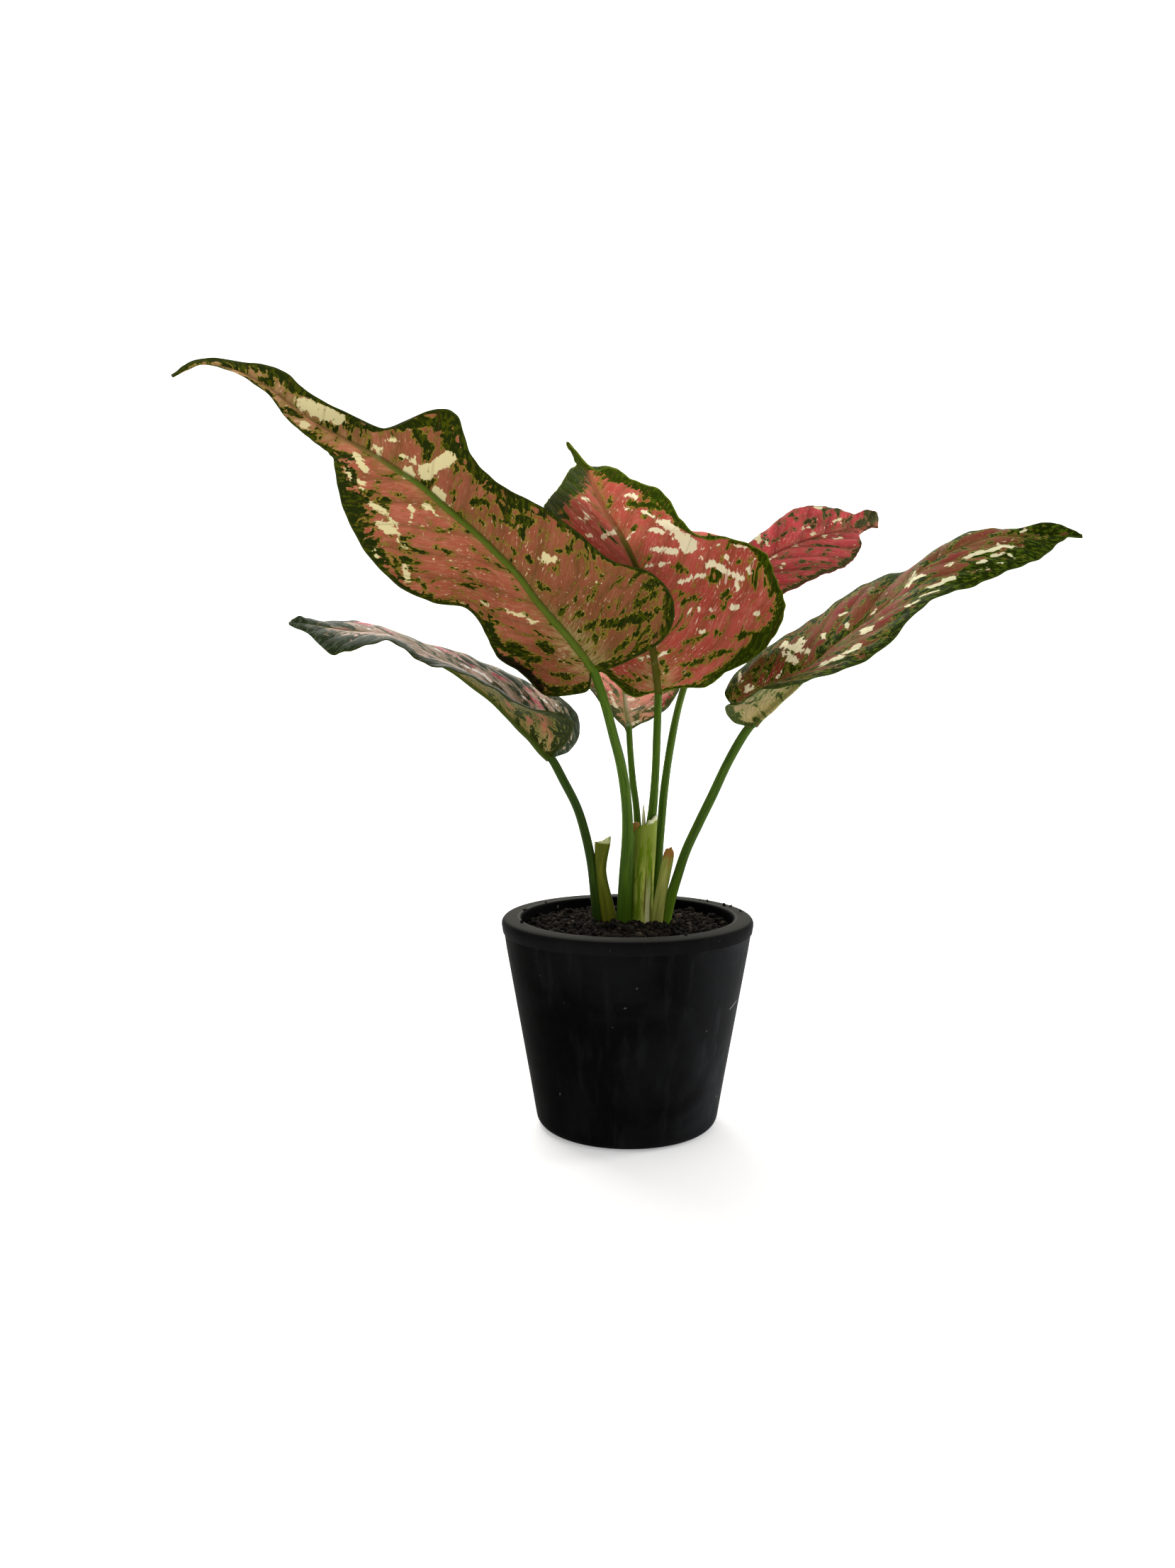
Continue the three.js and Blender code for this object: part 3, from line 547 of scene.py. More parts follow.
# %% The tree that puts a grain on each point
def grain_tree(first):
    bench, source = geometry_tree("scattered grains", first)
    seed = source.outputs["Seed"]
    random = "FunctionNodeRandomValue"
    ball = bench.wire(
        "GeometryNodeMeshIcoSphere", None, {"Radius": 0.001, "Subdivisions": source.outputs["Facets"]}
    )
    triple = {"data_type": "FLOAT_VECTOR"}
    shape = bench.wire(random, triple, {0: (0.75, 0.75, 0.5), 1: (1.35, 1.1, 0.95), "Seed": seed})
    turn = bench.wire(random, triple, {0: (0, 0, 0), 1: (1.2, 1.2, 6.28), "Seed": seed})
    size = bench.wire("GeometryNodeInputNamedAttribute", None, {"Name": "grain_size"})
    scale = bench.wire("ShaderNodeVectorMath", {"operation": "SCALE"}, {0: shape, "Scale": size})
    placed = bench.wire(
        "GeometryNodeInstanceOnPoints", None,
        {"Points": source.outputs["Geometry"], "Instance": ball, "Rotation": turn, "Scale": scale},
    )
    shade = bench.node(random, {"data_type": "FLOAT"}, {"Seed": seed}).outputs[1]
    kept = bench.wire(
        "GeometryNodeStoreNamedAttribute", {"domain": "INSTANCE"},
        {"Geometry": placed, "Name": "shade", "Value": shade},
    )
    real = bench.wire("GeometryNodeRealizeInstances", None, {0: kept})
    dents = bench.node("ShaderNodeTexNoise", None, {"Scale": 700.0, "Detail": 1.0}).outputs[1]
    centred = bench.wire("ShaderNodeVectorMath", {"operation": "SUBTRACT"}, {0: dents, 1: (0.5, 0.5, 0.5)})
    dented = bench.wire(
        "ShaderNodeVectorMath", {"operation": "SCALE"}, {0: centred, "Scale": source.outputs["Dents"]}
    )
    moved = bench.wire("GeometryNodeSetPosition", None, {"Geometry": real, "Offset": dented})
    return end_tree(bench, source, moved)


def scattered(name, points, sizes, facets, seed):
    inputs = {"Facets": facets, "Dents": 0.0012, "Seed": seed, "Material": soil_look}
    base = make_piece("spots", points, [], {"grain_size": sizes})
    return grown(name, base, grain_tree(inputs), inputs)


# %% Scatter the grains
# How many grains, the least and the greatest of their radii, how far they are lifted, and a seed.
COARSE_SPOTS, FINE_SPOTS = (1150, 0.75, 1.9, 0.6, 3), (4200, 0.35, 0.9, 0.9, 5)
# Each crumb: its x and y on the rim, and its radius.
RIM_CRUMBS = [
    (-41.7, 8.9, 0.65), (-40.9, -17.3, 0.7), (-34.1, 26.4, 0.45), (32.1, 31.6, 0.55), (33.5, 30.0, 0.6),
    (39.9, 20.5, 0.8), (42.5, 19.0, 0.7), (45.7, 8.4, 0.55), (21.7, -39.4, 0.6), (30.6, 33.0, 0.45),
]


def soil_spots(count, low, high, lift, seed):
    draw = np.random.default_rng(seed)
    reach = inner_radius(SOIL_WALL_HEIGHT) - 1.2
    radius, turn = reach * np.sqrt(draw.random(count)), 2 * np.pi * draw.random(count)
    x, y = radius * np.cos(turn), radius * np.sin(turn)
    sizes = low + (high - low) * draw.random(count) ** 2.2
    z = soil_height(x, y) + lift * sizes * draw.random(count)
    return np.stack([x, y, z], -1), sizes


coarse = scattered("soil_grains_coarse", *soil_spots(*COARSE_SPOTS), facets=2, seed=11)
fine = scattered("soil_grains_fine", *soil_spots(*FINE_SPOTS), facets=1, seed=12)
crumb_spots = [(x, y, POT_HEIGHT + 0.4 * s) for x, y, s in RIM_CRUMBS]
crumb_sizes = [s for _, _, s in RIM_CRUMBS]
crumbs = scattered("rim_crumbs", crumb_spots, crumb_sizes, facets=2, seed=13)

# %% [markdown]
# ## The leaves as tables
#
# A leaf is no simple form. It could be sculpted, but numbers can be checked and mended one at a time,
# so its shape is a table. The rows of a blade are its cross veins, from the base to the tip. A row of
# a stalk is one section of it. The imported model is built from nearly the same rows, and that is what
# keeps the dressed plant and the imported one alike. Only the feet of some stalks are a millimetre or
# two off, because they were brought closer to the photograph here.

# %% The rows of the blades
# Each row: a point on the midrib, on the left margin and on the right margin, in millimetres.
BLADE_ROWS = {}

# %% The rows of the upper left blade
BLADE_ROWS["leaf_upper_left"] = [
    [[-13, -22, 182], [-11.5, -22, 181], [-14, -22, 180.5]],
    [[-16.5, -24, 187], [2, -19, 186.5], [-16, -18, 174]],
    [[-21, -26, 193], [14.5, -18, 195], [-31.5, -14, 172.5]],
    [[-27, -29, 200], [17, -20, 207.5], [-40, -14, 180]],
    [[-33.5, -32, 207.5], [8.5, -25, 218], [-49, -20, 187]],
    [[-40, -35, 216.5], [-6.5, -31, 222.5], [-53, -27, 196]],
    [[-48, -38, 225], [-18.5, -37, 232], [-60, -22, 204.5]],
    [[-57, -41, 233.5], [-31.5, -41, 241], [-73.5, -26, 207.5]],
    [[-66, -44, 241], [-46.5, -40, 249], [-86.5, -31, 215]],
    [[-74, -47, 248], [-56, -43, 258.5], [-98.5, -35, 229.5]],
    [[-82.5, -50, 253.5], [-60, -54, 271], [-104.5, -39, 244.5]],
    [[-91, -52, 259], [-68.5, -61, 271.5], [-105, -45, 257]],
    [[-100, -53, 263.5], [-83.5, -56, 266.5], [-105.5, -51, 259]],
    [[-109, -54, 268], [-97.5, -51, 272], [-111.5, -54, 263.5]],
    [[-118.5, -55, 275], [-111.5, -55, 279], [-119.5, -55, 270.5]],
    [[-126, -56, 281], [-120, -59, 286], [-125.5, -55, 278.5]],
    [[-136, -56, 286.5], [-132.5, -59, 288.5], [-135, -55, 285]],
    [[-148.5, -55, 289.3], [-149, -57, 289.8], [-148, -54, 288.8]],
    [[-159.5, -54, 285], [-159.5, -54.5, 285], [-159.5, -53.5, 285]],
]

# %% The rows of the middle blade
BLADE_ROWS["leaf_middle"] = [
    [[12, 6, 173], [13, 6, 173], [10.5, 6, 173]],
    [[11.5, 5, 177], [21, 9, 174.5], [2, 9, 171]],
    [[11, 4, 182], [31.5, 10, 175], [-5.5, 14, 176.5]],
    [[10, 2, 188], [39, 9, 181], [-12.5, 17, 182.5]],
    [[9, 0, 195], [47.5, 8, 185], [-22, 18, 189.5]],
    [[8, -3, 203], [56, 6, 192.5], [-30.5, 19, 198.5]],
    [[6, -7, 211], [61, 3, 206], [-36, 18, 209]],
    [[4, -12, 219], [57.5, -1, 216], [-38.5, 14, 220]],
    [[1, -19, 225.5], [52, -7, 226.5], [-37.5, 8, 230.5]],
    [[-2.5, -28, 231.5], [41, -16, 231], [-35.5, -1, 238.5]],
    [[-6, -38, 236.5], [27.5, -25, 230], [-32, -13, 243.5]],
    [[-9, -49, 240.5], [19, -37, 237], [-28, -28, 246.5]],
    [[-11, -60, 244], [12.5, -49, 244.5], [-24, -44, 248.5]],
    [[-12.5, -70, 246.5], [3, -60, 247], [-20.5, -59, 251.5]],
    [[-13.5, -78, 248.5], [-5, -71, 251], [-18, -70, 251.5]],
    [[-15, -84, 250.5], [-11.5, -80, 249], [-17.5, -80, 251.5]],
    [[-19.5, -92.9, 256], [-19, -92.9, 255.5], [-20, -92.9, 256]],
]

# %% The rows of the back right blade
BLADE_ROWS["leaf_back_right"] = [
    [[37, 46, 209.5], [37.5, 47, 210.5], [37.5, 46, 208]],
    [[41, 49, 214], [41.5, 54, 222], [45, 45, 206.5]],
    [[48, 54, 220.5], [49.5, 63, 233], [57, 45, 209.5]],
    [[56.5, 60, 226.5], [60.5, 73, 242], [68, 49, 214.5]],
    [[67, 67, 232.5], [72, 82, 250.5], [79, 54, 219.5]],
    [[77.5, 75, 237], [83.5, 89, 253.5], [89.5, 60, 223.5]],
    [[88, 83, 240.5], [94, 95, 253], [97.5, 68, 228.5]],
    [[98, 91, 243], [102, 99, 250.5], [102.5, 77, 235]],
    [[106.5, 98, 245], [108.5, 103, 253], [103, 90, 240]],
    [[111.5, 103, 245.5], [114, 105, 251.5], [110, 99, 244.5]],
    [[114.5, 106, 245.5], [114.5, 106.5, 245.5], [114.5, 105.5, 245]],
]

# %% The rows of the right blade
BLADE_ROWS["leaf_right"] = [
    [[47.5, -14, 161.5], [48.5, -12, 162.5], [47, -16, 160]],
    [[50, -15, 164.5], [43.5, -5, 165.5], [39.5, -22, 163]],
    [[53.5, -16, 167.5], [38.5, 5, 172.5], [36, -32, 168.5]],
    [[57, -17, 171], [44.5, 11, 181.5], [41.5, -40, 170.5]],
    [[61.5, -18, 175], [55.5, 13, 191], [47, -44, 175.5]],
    [[67, -18, 180.5], [66.5, 12, 197.5], [57.5, -46, 177]],
    [[73, -18, 186.5], [77, 11, 203.5], [68, -46, 179.5]],
    [[80, -17, 193], [87, 10, 212], [80.5, -44, 184]],
    [[87.5, -16, 198.5], [98, 8, 218], [92.5, -41, 191.5]],
    [[95.5, -15, 204.5], [110, 6, 220.5], [104.5, -37, 203]],
    [[102.5, -14, 211], [117, 4, 226], [114.5, -34, 209.5]],
    [[109.5, -12, 218.5], [123.5, 2, 231], [125, -31, 213]],
    [[118.5, -10, 224.5], [131.5, 0, 234.5], [135.5, -28, 217]],
    [[128.5, -9, 229], [140.5, -2, 235.5], [145.5, -25, 220.5]],
    [[139, -9, 232], [148.5, -6, 235.5], [153, -22, 224]],
    [[149.5, -10, 232], [157.5, -10, 237.5], [159, -18, 228.5]],
    [[161, -12, 232.5], [164.5, -12, 235.5], [164.5, -15, 231.5]],
    [[169.9, -14, 232], [169.9, -13.5, 232.5], [169.9, -14.5, 231.5]],
]

# %% The rows of the left blade
BLADE_ROWS["leaf_left"] = [
    [[-30.5, 0, 147.5], [-30, -1, 148], [-30, 2, 147]],
    [[-34, -2, 151], [-23, -13, 155], [-23, 12, 149.5]],
    [[-37.5, -4, 155.5], [-21, -24, 162], [-19.5, 20, 158]],
    [[-42, -6, 160], [-27.5, -31, 166], [-24.5, 22, 167.5]],
    [[-46.5, -8, 165], [-38, -36, 169], [-35.5, 21, 173.5]],
    [[-52.5, -10, 171], [-47.5, -39, 175], [-47, 18, 180]],
    [[-59.5, -13, 176.5], [-56, -41, 179], [-59, 14, 184.5]],
    [[-66.5, -16, 182], [-65, -42, 182.5], [-70, 9, 189]],
    [[-74.5, -18, 186.5], [-73, -42, 185], [-80, 3, 192]],
    [[-82.5, -20, 191], [-79.5, -42, 189], [-89.5, -3, 196]],
    [[-91, -22, 194.5], [-86.5, -42, 192.5], [-99.5, -8, 199]],
    [[-100, -23, 196], [-94, -42, 191.5], [-108.5, -12, 200.5]],
    [[-108.5, -24, 197], [-102.5, -41, 189.5], [-116.5, -17, 200.5]],
    [[-116.5, -25, 198.5], [-109.5, -38, 188.5], [-121.5, -21, 201.5]],
    [[-122.5, -25, 199.5], [-118, -31, 195], [-124.5, -23, 202]],
    [[-127.5, -24, 199.5], [-127, -24.5, 199], [-127.5, -23.5, 199.5]],
]

# %% The rows of the back blade
BLADE_ROWS["leaf_back"] = [
    [[0.5, 14, 158], [-0.5, 14, 157.5], [1, 14, 157.5]],
    [[-1, 23, 165.5], [-14, 29, 171], [17, 28, 166.5]],
    [[-2, 38, 175], [-24, 46, 185.5], [24.5, 47, 181]],
    [[-2, 46, 180], [-25.5, 57, 192], [24.5, 58, 189]],
    [[-2, 56, 185.5], [-24.5, 69, 197.5], [21.5, 70, 195.5]],
    [[-2, 67, 191], [-20, 82, 201.5], [16.5, 83, 200.5]],
    [[-1, 80, 196], [-12.5, 95, 204], [9.5, 95, 203.5]],
    [[2, 112, 204.5], [1.5, 112, 204.5], [2.5, 112, 204.5]],
]

print("rows of each blade:", {name: len(rows) for name, rows in BLADE_ROWS.items()})

# %% The rows of the stalks
# Each row: a point on the middle of the stalk, its half width and its half depth.
STEM_FOOT = 74.0

PETIOLE_ROWS = {
    "leaf_upper_left": [
        [-1.2, -2, STEM_FOOT, 3, 2.6], [-1.2, -2.4, 85, 3, 2.5], [-0.7, -4, 99.5, 2.8, 2.4],
        [0, -6, 117, 2.3, 2.1], [-0.5, -9, 131, 2.1, 2], [-2.5, -12, 145, 2, 1.9],
        [-5.5, -15, 157, 1.9, 1.8], [-8.5, -18, 168.5, 1.8, 1.7], [-12.4, -21.4, 180.5, 1.7, 1.6],
    ],
    "leaf_middle": [
        [5.5, 1.5, STEM_FOOT, 2, 1.8], [5.5, 1.5, 85, 2, 1.8], [6.5, 1.5, 98.5, 2, 1.8],
        [8.5, 2, 116, 1.9, 1.8], [10, 3, 127, 1.8, 1.7], [11, 4, 141, 1.6, 1.6],
        [11.5, 5, 155, 1.6, 1.5], [12, 6.2, 171.5, 1.5, 1.5],
    ],
    "leaf_back_right": [
        [10.8, 4.4, STEM_FOOT, 1.8, 1.7], [11.5, 4.4, 83, 1.8, 1.7], [12, 4.6, 98.5, 1.8, 1.7],
        [12.5, 5.2, 109.5, 1.8, 1.7], [13.5, 7, 121, 1.7, 1.7], [14.5, 10, 132, 1.7, 1.6],
        [16, 14, 143, 1.6, 1.6], [18, 18, 154.5, 1.6, 1.5], [20.5, 24, 165.5, 1.5, 1.5],
        [24, 30, 177, 1.5, 1.4], [29, 37, 191.5, 1.4, 1.4], [36.4, 45.2, 208, 1.3, 1.3],
    ],
    "leaf_right": [
        [13.4, 0.8, STEM_FOOT, 2.8, 2.2], [14.8, 0.6, 82, 2.6, 2.1], [17, -1, 91, 2.2, 1.9],
        [19.5, -3.2, 100, 2, 1.9], [23, -6, 111.5, 1.9, 1.9], [28, -8, 123, 1.9, 1.8],
        [33, -10, 134, 1.9, 1.8], [38, -12, 145.5, 1.8, 1.8], [43, -13, 155, 1.8, 1.7],
        [46.6, -13.7, 160.4, 1.7, 1.6],
    ],
    "leaf_left": [
        [-11.6, 1.2, STEM_FOOT, 2.1, 1.9], [-11.8, 1.2, 82, 2.1, 1.9], [-12.9, 0.6, 93, 2, 1.8],
        [-14.2, 0, 104.5, 1.9, 1.8], [-16.5, 0, 116, 1.9, 1.8], [-20, 0, 127.5, 1.8, 1.8],
        [-25.5, 0, 138.5, 1.8, 1.7], [-29.8, 0, 146.4, 1.7, 1.6],
    ],
    "leaf_back": [
        [3.2, 5.8, STEM_FOOT, 2, 1.6], [3.5, 5.8, 85, 2, 1.6], [3.9, 6, 98, 1.9, 1.5],
        [4.1, 7, 115, 1.7, 1.4], [3.5, 8.5, 126.5, 1.4, 1.4], [2, 10.5, 137.5, 1.4, 1.3],
        [1, 12.3, 149, 1.3, 1.3], [0.5, 13.6, 157, 1.3, 1.2],
    ],
}
print("rows of each stalk:", {name: len(rows) for name, rows in PETIOLE_ROWS.items()})

# %% [markdown]
# ## The marks as a list
#
# The large marks of each blade are its own, and no rule would put them in the right places. So they
# are read off the photograph one by one: the pixel where a mark starts, the pixel where it ends, and
# half its width in pixels. Further down, the script throws each of them onto the blade through the
# camera. From then on a mark belongs to the leaf, and is seen from every side.

# %% The marks read off the photograph
# Each mark: x and y of one end, x and y of the other end, and half the width, in pixels.
MARKS = {}

# %% The marks of the upper left leaf
MARKS["leaf_upper_left"] = {
    "cream": [
        (428, 569, 476, 590, 11), (505, 645, 515, 660, 6), (531, 632, 536, 642, 5), (570, 645, 586, 652, 4),
        (574, 661, 577, 669, 5), (602, 668, 632, 644, 11), (616, 690, 624, 700, 7), (524, 713, 541, 719, 5),
        (536, 740, 556, 749, 8), (578, 734, 606, 741, 3), (526, 774, 530, 786, 4), (568, 800, 575, 812, 6),
        (430, 600, 434, 604, 3), (548, 618, 566, 622, 2.5), (506, 676, 512, 688, 3),
        (766, 784, 780, 790, 4.5), (714, 861, 734, 867, 2), (736, 869, 756, 877, 1.6),
        (643, 773, 658, 777, 1.5), (677, 848, 687, 852, 2), (560, 763, 572, 768, 1.5),
        (600, 712, 612, 722, 3), (648, 866, 660, 869, 2), (579, 716, 586, 722, 2), (552, 735, 560, 738, 2),
        (492, 664, 500, 678, 3),
    ],
    "green": [
        (846, 938, 880, 925, 2.4), (862, 934, 896, 918, 2), (838, 920, 846, 900, 1.6),
        (668, 708, 690, 712, 5), (678, 735, 684, 739, 3), (638, 694, 642, 706, 2.5),
        (706, 700, 734, 716, 5), (730, 732, 752, 736, 6), (734, 748, 744, 762, 4), (714, 737, 722, 743, 3),
        (760, 824, 776, 832, 5), (788, 776, 810, 776, 3), (768, 748, 776, 760, 3),
        (782, 800, 788, 808, 3.5), (843, 800, 850, 814, 2.5), (828, 846, 838, 836, 2.5),
        (806, 872, 820, 866, 3), (852, 880, 880, 882, 8), (884, 878, 908, 868, 8), (902, 852, 924, 838, 5),
        (858, 856, 868, 848, 3), (722, 912, 740, 924, 10), (744, 930, 760, 930, 7), (766, 914, 774, 922, 4),
        (774, 922, 780, 914, 3), (690, 885, 700, 905, 8), (696, 900, 704, 908, 6),
        (792, 931, 826, 929, 2.2), (758, 890, 768, 898, 3.5), (780, 950, 806, 956, 4),
        (736, 863, 748, 869, 1.5), (673, 800, 690, 804, 2.5), (634, 800, 646, 803, 2),
        (614, 772, 636, 780, 3.5), (663, 846, 680, 853, 3), (565, 600, 640, 588, 12),
        (586, 610, 606, 632, 9), (600, 640, 606, 668, 5), (600, 680, 606, 688, 5), (650, 634, 656, 664, 4),
        (628, 600, 640, 640, 7), (330, 512, 400, 530, 5), (392, 528, 412, 548, 7), (368, 534, 384, 540, 6),
        (376, 550, 384, 560, 3), (440, 570, 500, 594, 2.5), (478, 655, 484, 690, 8),
        (484, 700, 496, 735, 8), (492, 735, 512, 760, 6), (510, 690, 524, 700, 3), (532, 706, 546, 716, 3),
        (592, 742, 622, 750, 1.6), (668, 712, 680, 716, 2), (526, 762, 530, 772, 3),
        (546, 780, 560, 790, 3), (556, 790, 570, 800, 3), (588, 818, 600, 830, 4), (600, 838, 616, 852, 4),
        (552, 697, 572, 699, 2), (524, 740, 540, 745, 3), (640, 738, 650, 742, 1.5),
        (700, 760, 716, 770, 2.5), (718, 800, 722, 806, 2), (560, 756, 572, 760, 2),
        (880, 905, 900, 893, 3), (868, 918, 884, 908, 3), (840, 905, 852, 894, 3),
        (606, 665, 614, 658, 3.5), (618, 655, 624, 650, 3.5), (612, 676, 606, 690, 4),
        (700, 706, 716, 722, 5), (712, 728, 724, 742, 4), (640, 720, 652, 732, 2), (720, 770, 728, 782, 3),
        (742, 786, 752, 792, 2.5), (902, 900, 916, 886, 4), (916, 872, 926, 860, 4),
        (820, 890, 836, 880, 3), (760, 905, 772, 912, 4), (708, 912, 720, 922, 6), (690, 868, 700, 880, 4),
    ],
    # Painted shade: a near-black strip where the margin is rolled under and lies in its own shade.
    "fold": [(702, 928, 722, 934, 4), (722, 935, 746, 949, 6), (746, 951, 764, 970, 5)],
}

# %% The marks of the middle leaf
MARKS["leaf_middle"] = {
    "cream": [
        (936, 736, 948, 744, 11), (948, 748, 974, 772, 12), (920, 746, 934, 748, 5),
        (904, 719, 919, 727, 3), (924, 772, 951, 777, 5), (914, 799, 944, 794, 2.4),
        (1001, 794, 1043, 816, 5), (976, 814, 991, 811, 3), (959, 821, 979, 816, 2.4),
        (1038, 820, 1042, 828, 3.5), (852, 757, 869, 749, 4), (828, 724, 836, 728, 4),
        (832, 753, 833, 754, 2.5), (818, 731, 830, 731, 1.5), (794, 700, 797, 704, 4),
        (822, 704, 830, 702, 2.5), (888, 696, 896, 700, 5), (1057, 802, 1060, 808, 3),
        (1036, 855, 1037, 856, 2.5), (1068, 866, 1069, 868, 3), (1004, 860, 1010, 857, 2.5),
        (982, 861, 990, 857, 1.5), (988, 890, 992, 893, 2), (926, 931, 939, 918, 1.6),
        (904, 929, 914, 926, 1.4), (1024, 787, 1030, 792, 2.5), (1033, 766, 1052, 771, 2.6),
        (989, 774, 1013, 769, 1.8), (912, 690, 914, 694, 3), (880, 716, 884, 718, 1.6),
        (868, 742, 874, 738, 1.5), (885, 760, 892, 752, 1.6), (912, 752, 902, 764, 1.4),
    ],
    "green": [
        (857, 714, 862, 700, 3), (844, 681, 848, 685, 3), (890, 708, 930, 716, 7), (906, 700, 926, 706, 5),
        (908, 728, 920, 724, 3), (930, 738, 944, 742, 3.5), (952, 736, 958, 744, 3),
        (948, 800, 972, 806, 3), (960, 796, 966, 800, 2.5), (1000, 814, 1008, 820, 5),
        (1006, 802, 1018, 812, 5), (1022, 808, 1030, 816, 3), (948, 834, 966, 836, 1.8),
        (960, 850, 978, 841, 3), (1018, 856, 1030, 842, 4), (1022, 838, 1028, 834, 3),
        (994, 872, 1006, 870, 2.4), (968, 906, 996, 894, 2.6), (1002, 928, 1030, 918, 4),
        (1006, 922, 1016, 918, 3), (960, 939, 992, 931, 3.6), (966, 950, 974, 952, 3.6),
        (884, 962, 904, 960, 3.5), (882, 970, 892, 972, 4), (1060, 806, 1064, 826, 4.5),
        (1070, 796, 1080, 826, 3), (1044, 898, 1060, 892, 4), (1066, 900, 1080, 890, 7),
        (1062, 918, 1078, 906, 7), (1046, 936, 1060, 926, 5), (786, 728, 798, 726, 6),
        (776, 712, 786, 718, 4), (801, 702, 803, 716, 2), (934, 932, 940, 948, 3),
        (930, 946, 936, 960, 2.6), (942, 919, 948, 917, 1.8), (1008, 890, 1014, 894, 2),
        (1030, 900, 1034, 908, 2), (792, 718, 800, 722, 2.5), (822, 692, 828, 688, 3),
        (812, 695, 814, 700, 3), (893, 748, 897, 740, 1.5), (1084, 834, 1088, 842, 3),
        (1040, 794, 1046, 790, 2.5),
    ],
}

# %% The marks of the back right leaf
MARKS["leaf_back_right"] = {
    "cream": [
        (1070, 756, 1073, 766, 3), (1134, 747, 1141, 745, 2.4), (1144, 754, 1150, 753, 1.5),
        (1176, 735, 1186, 734, 2), (1179, 762, 1186, 760, 2), (1086, 788, 1094, 785, 2.4),
        (1080, 764, 1082, 768, 2), (1150, 716, 1158, 717, 3), (1160, 757, 1163, 755, 1.5),
        (1103, 800, 1106, 796, 1.4), (1120, 770, 1124, 768, 1.2),
    ],
    "green": [
        (1134, 738, 1170, 727, 2.6), (1188, 735, 1200, 730, 3), (1089, 766, 1118, 746, 1.6),
        (1138, 779, 1146, 775, 3), (1126, 796, 1134, 791, 2), (1160, 783, 1170, 777, 2),
        (1114, 816, 1126, 812, 2), (1184, 798, 1196, 790, 4), (1204, 792, 1213, 772, 3.4),
        (1226, 734, 1236, 728, 7), (1208, 744, 1220, 736, 6), (1152, 770, 1182, 772, 1.6),
        (1100, 790, 1110, 780, 1.6), (1200, 720, 1210, 722, 2.5),
    ],
}

# %% The marks of the right leaf
MARKS["leaf_right"] = {
    "cream": [
        (1109, 909, 1114, 914, 6), (1122, 911, 1129, 918, 7), (1115, 926, 1121, 934, 6),
        (1129, 903, 1132, 907, 4), (1108, 920, 1112, 926, 4), (1136, 916, 1140, 921, 3.6),
        (1161, 937, 1188, 927, 4.5), (1188, 925, 1210, 915, 5.5), (1219, 890, 1228, 886, 6),
        (1187, 868, 1195, 866, 3), (1194, 880, 1196, 888, 2.6), (1284, 820, 1302, 811, 2.6),
        (1314, 828, 1346, 815, 5), (1300, 842, 1346, 830, 4.5), (1280, 855, 1300, 848, 3.6),
        (1282, 826, 1290, 812, 5), (1292, 818, 1306, 812, 3.6), (1380, 782, 1396, 777, 4.4),
        (1400, 776, 1408, 773, 5), (1402, 785, 1414, 781, 4.4), (1412, 770, 1426, 773, 4.4),
        (1380, 795, 1392, 793, 3.6), (1364, 787, 1372, 784, 4), (1404, 798, 1416, 795, 3),
        (1380, 802, 1410, 800, 2.4), (1424, 782, 1430, 788, 3), (1045, 952, 1048, 962, 3.4),
        (1055, 968, 1059, 974, 3.6), (1161, 898, 1164, 903, 2.4), (1355, 756, 1368, 754, 1.8),
        (1335, 800, 1342, 796, 1.5), (1232, 866, 1236, 860, 2), (1100, 957, 1102, 950, 1.5),
        (1275, 842, 1283, 836, 1.5), (1460, 756, 1466, 754, 1.6), (1440, 752, 1448, 748, 1.6),
        (1352, 840, 1372, 832, 1.8),
    ],
    "green": [
        (1118, 922, 1118, 946, 6), (1086, 924, 1092, 918, 6), (1106, 900, 1130, 896, 5),
        (1184, 898, 1192, 892, 5), (1180, 906, 1186, 902, 4), (1155, 920, 1162, 912, 5),
        (1230, 838, 1246, 832, 4), (1254, 826, 1264, 820, 4), (1226, 903, 1244, 892, 6),
        (1196, 924, 1210, 918, 3), (1374, 786, 1400, 776, 9), (1400, 790, 1424, 780, 10),
        (1430, 786, 1456, 776, 11), (1466, 748, 1488, 744, 8), (1484, 758, 1500, 762, 9),
        (1188, 842, 1250, 816, 4), (1038, 962, 1042, 980, 5), (1044, 946, 1050, 938, 5),
        (1066, 926, 1076, 918, 5), (1134, 876, 1156, 862, 6), (1345, 832, 1384, 818, 6),
        (1262, 884, 1290, 862, 5), (1300, 854, 1330, 842, 5), (1400, 756, 1440, 750, 5),
        (1148, 936, 1156, 932, 4), (1130, 944, 1146, 938, 4), (1078, 946, 1086, 938, 3),
        (1190, 880, 1200, 870, 3), (1210, 856, 1218, 850, 3), (1056, 990, 1064, 982, 3),
        (1156, 880, 1164, 870, 4), (1420, 770, 1430, 766, 3),
    ],
    "red": [
        (1321, 793, 1250, 861, 9), (1188, 862, 1210, 848, 10), (1180, 892, 1190, 882, 6),
        (1155, 912, 1162, 894, 5), (1212, 886, 1232, 872, 9), (1168, 926, 1176, 918, 4),
        (1244, 878, 1266, 862, 7), (1148, 938, 1152, 928, 4), (1080, 960, 1096, 944, 8),
        (1330, 794, 1348, 780, 9), (1382, 754, 1404, 751, 4), (1286, 838, 1300, 826, 6),
        (1120, 955, 1135, 945, 6), (1100, 972, 1118, 962, 5),
    ],
}

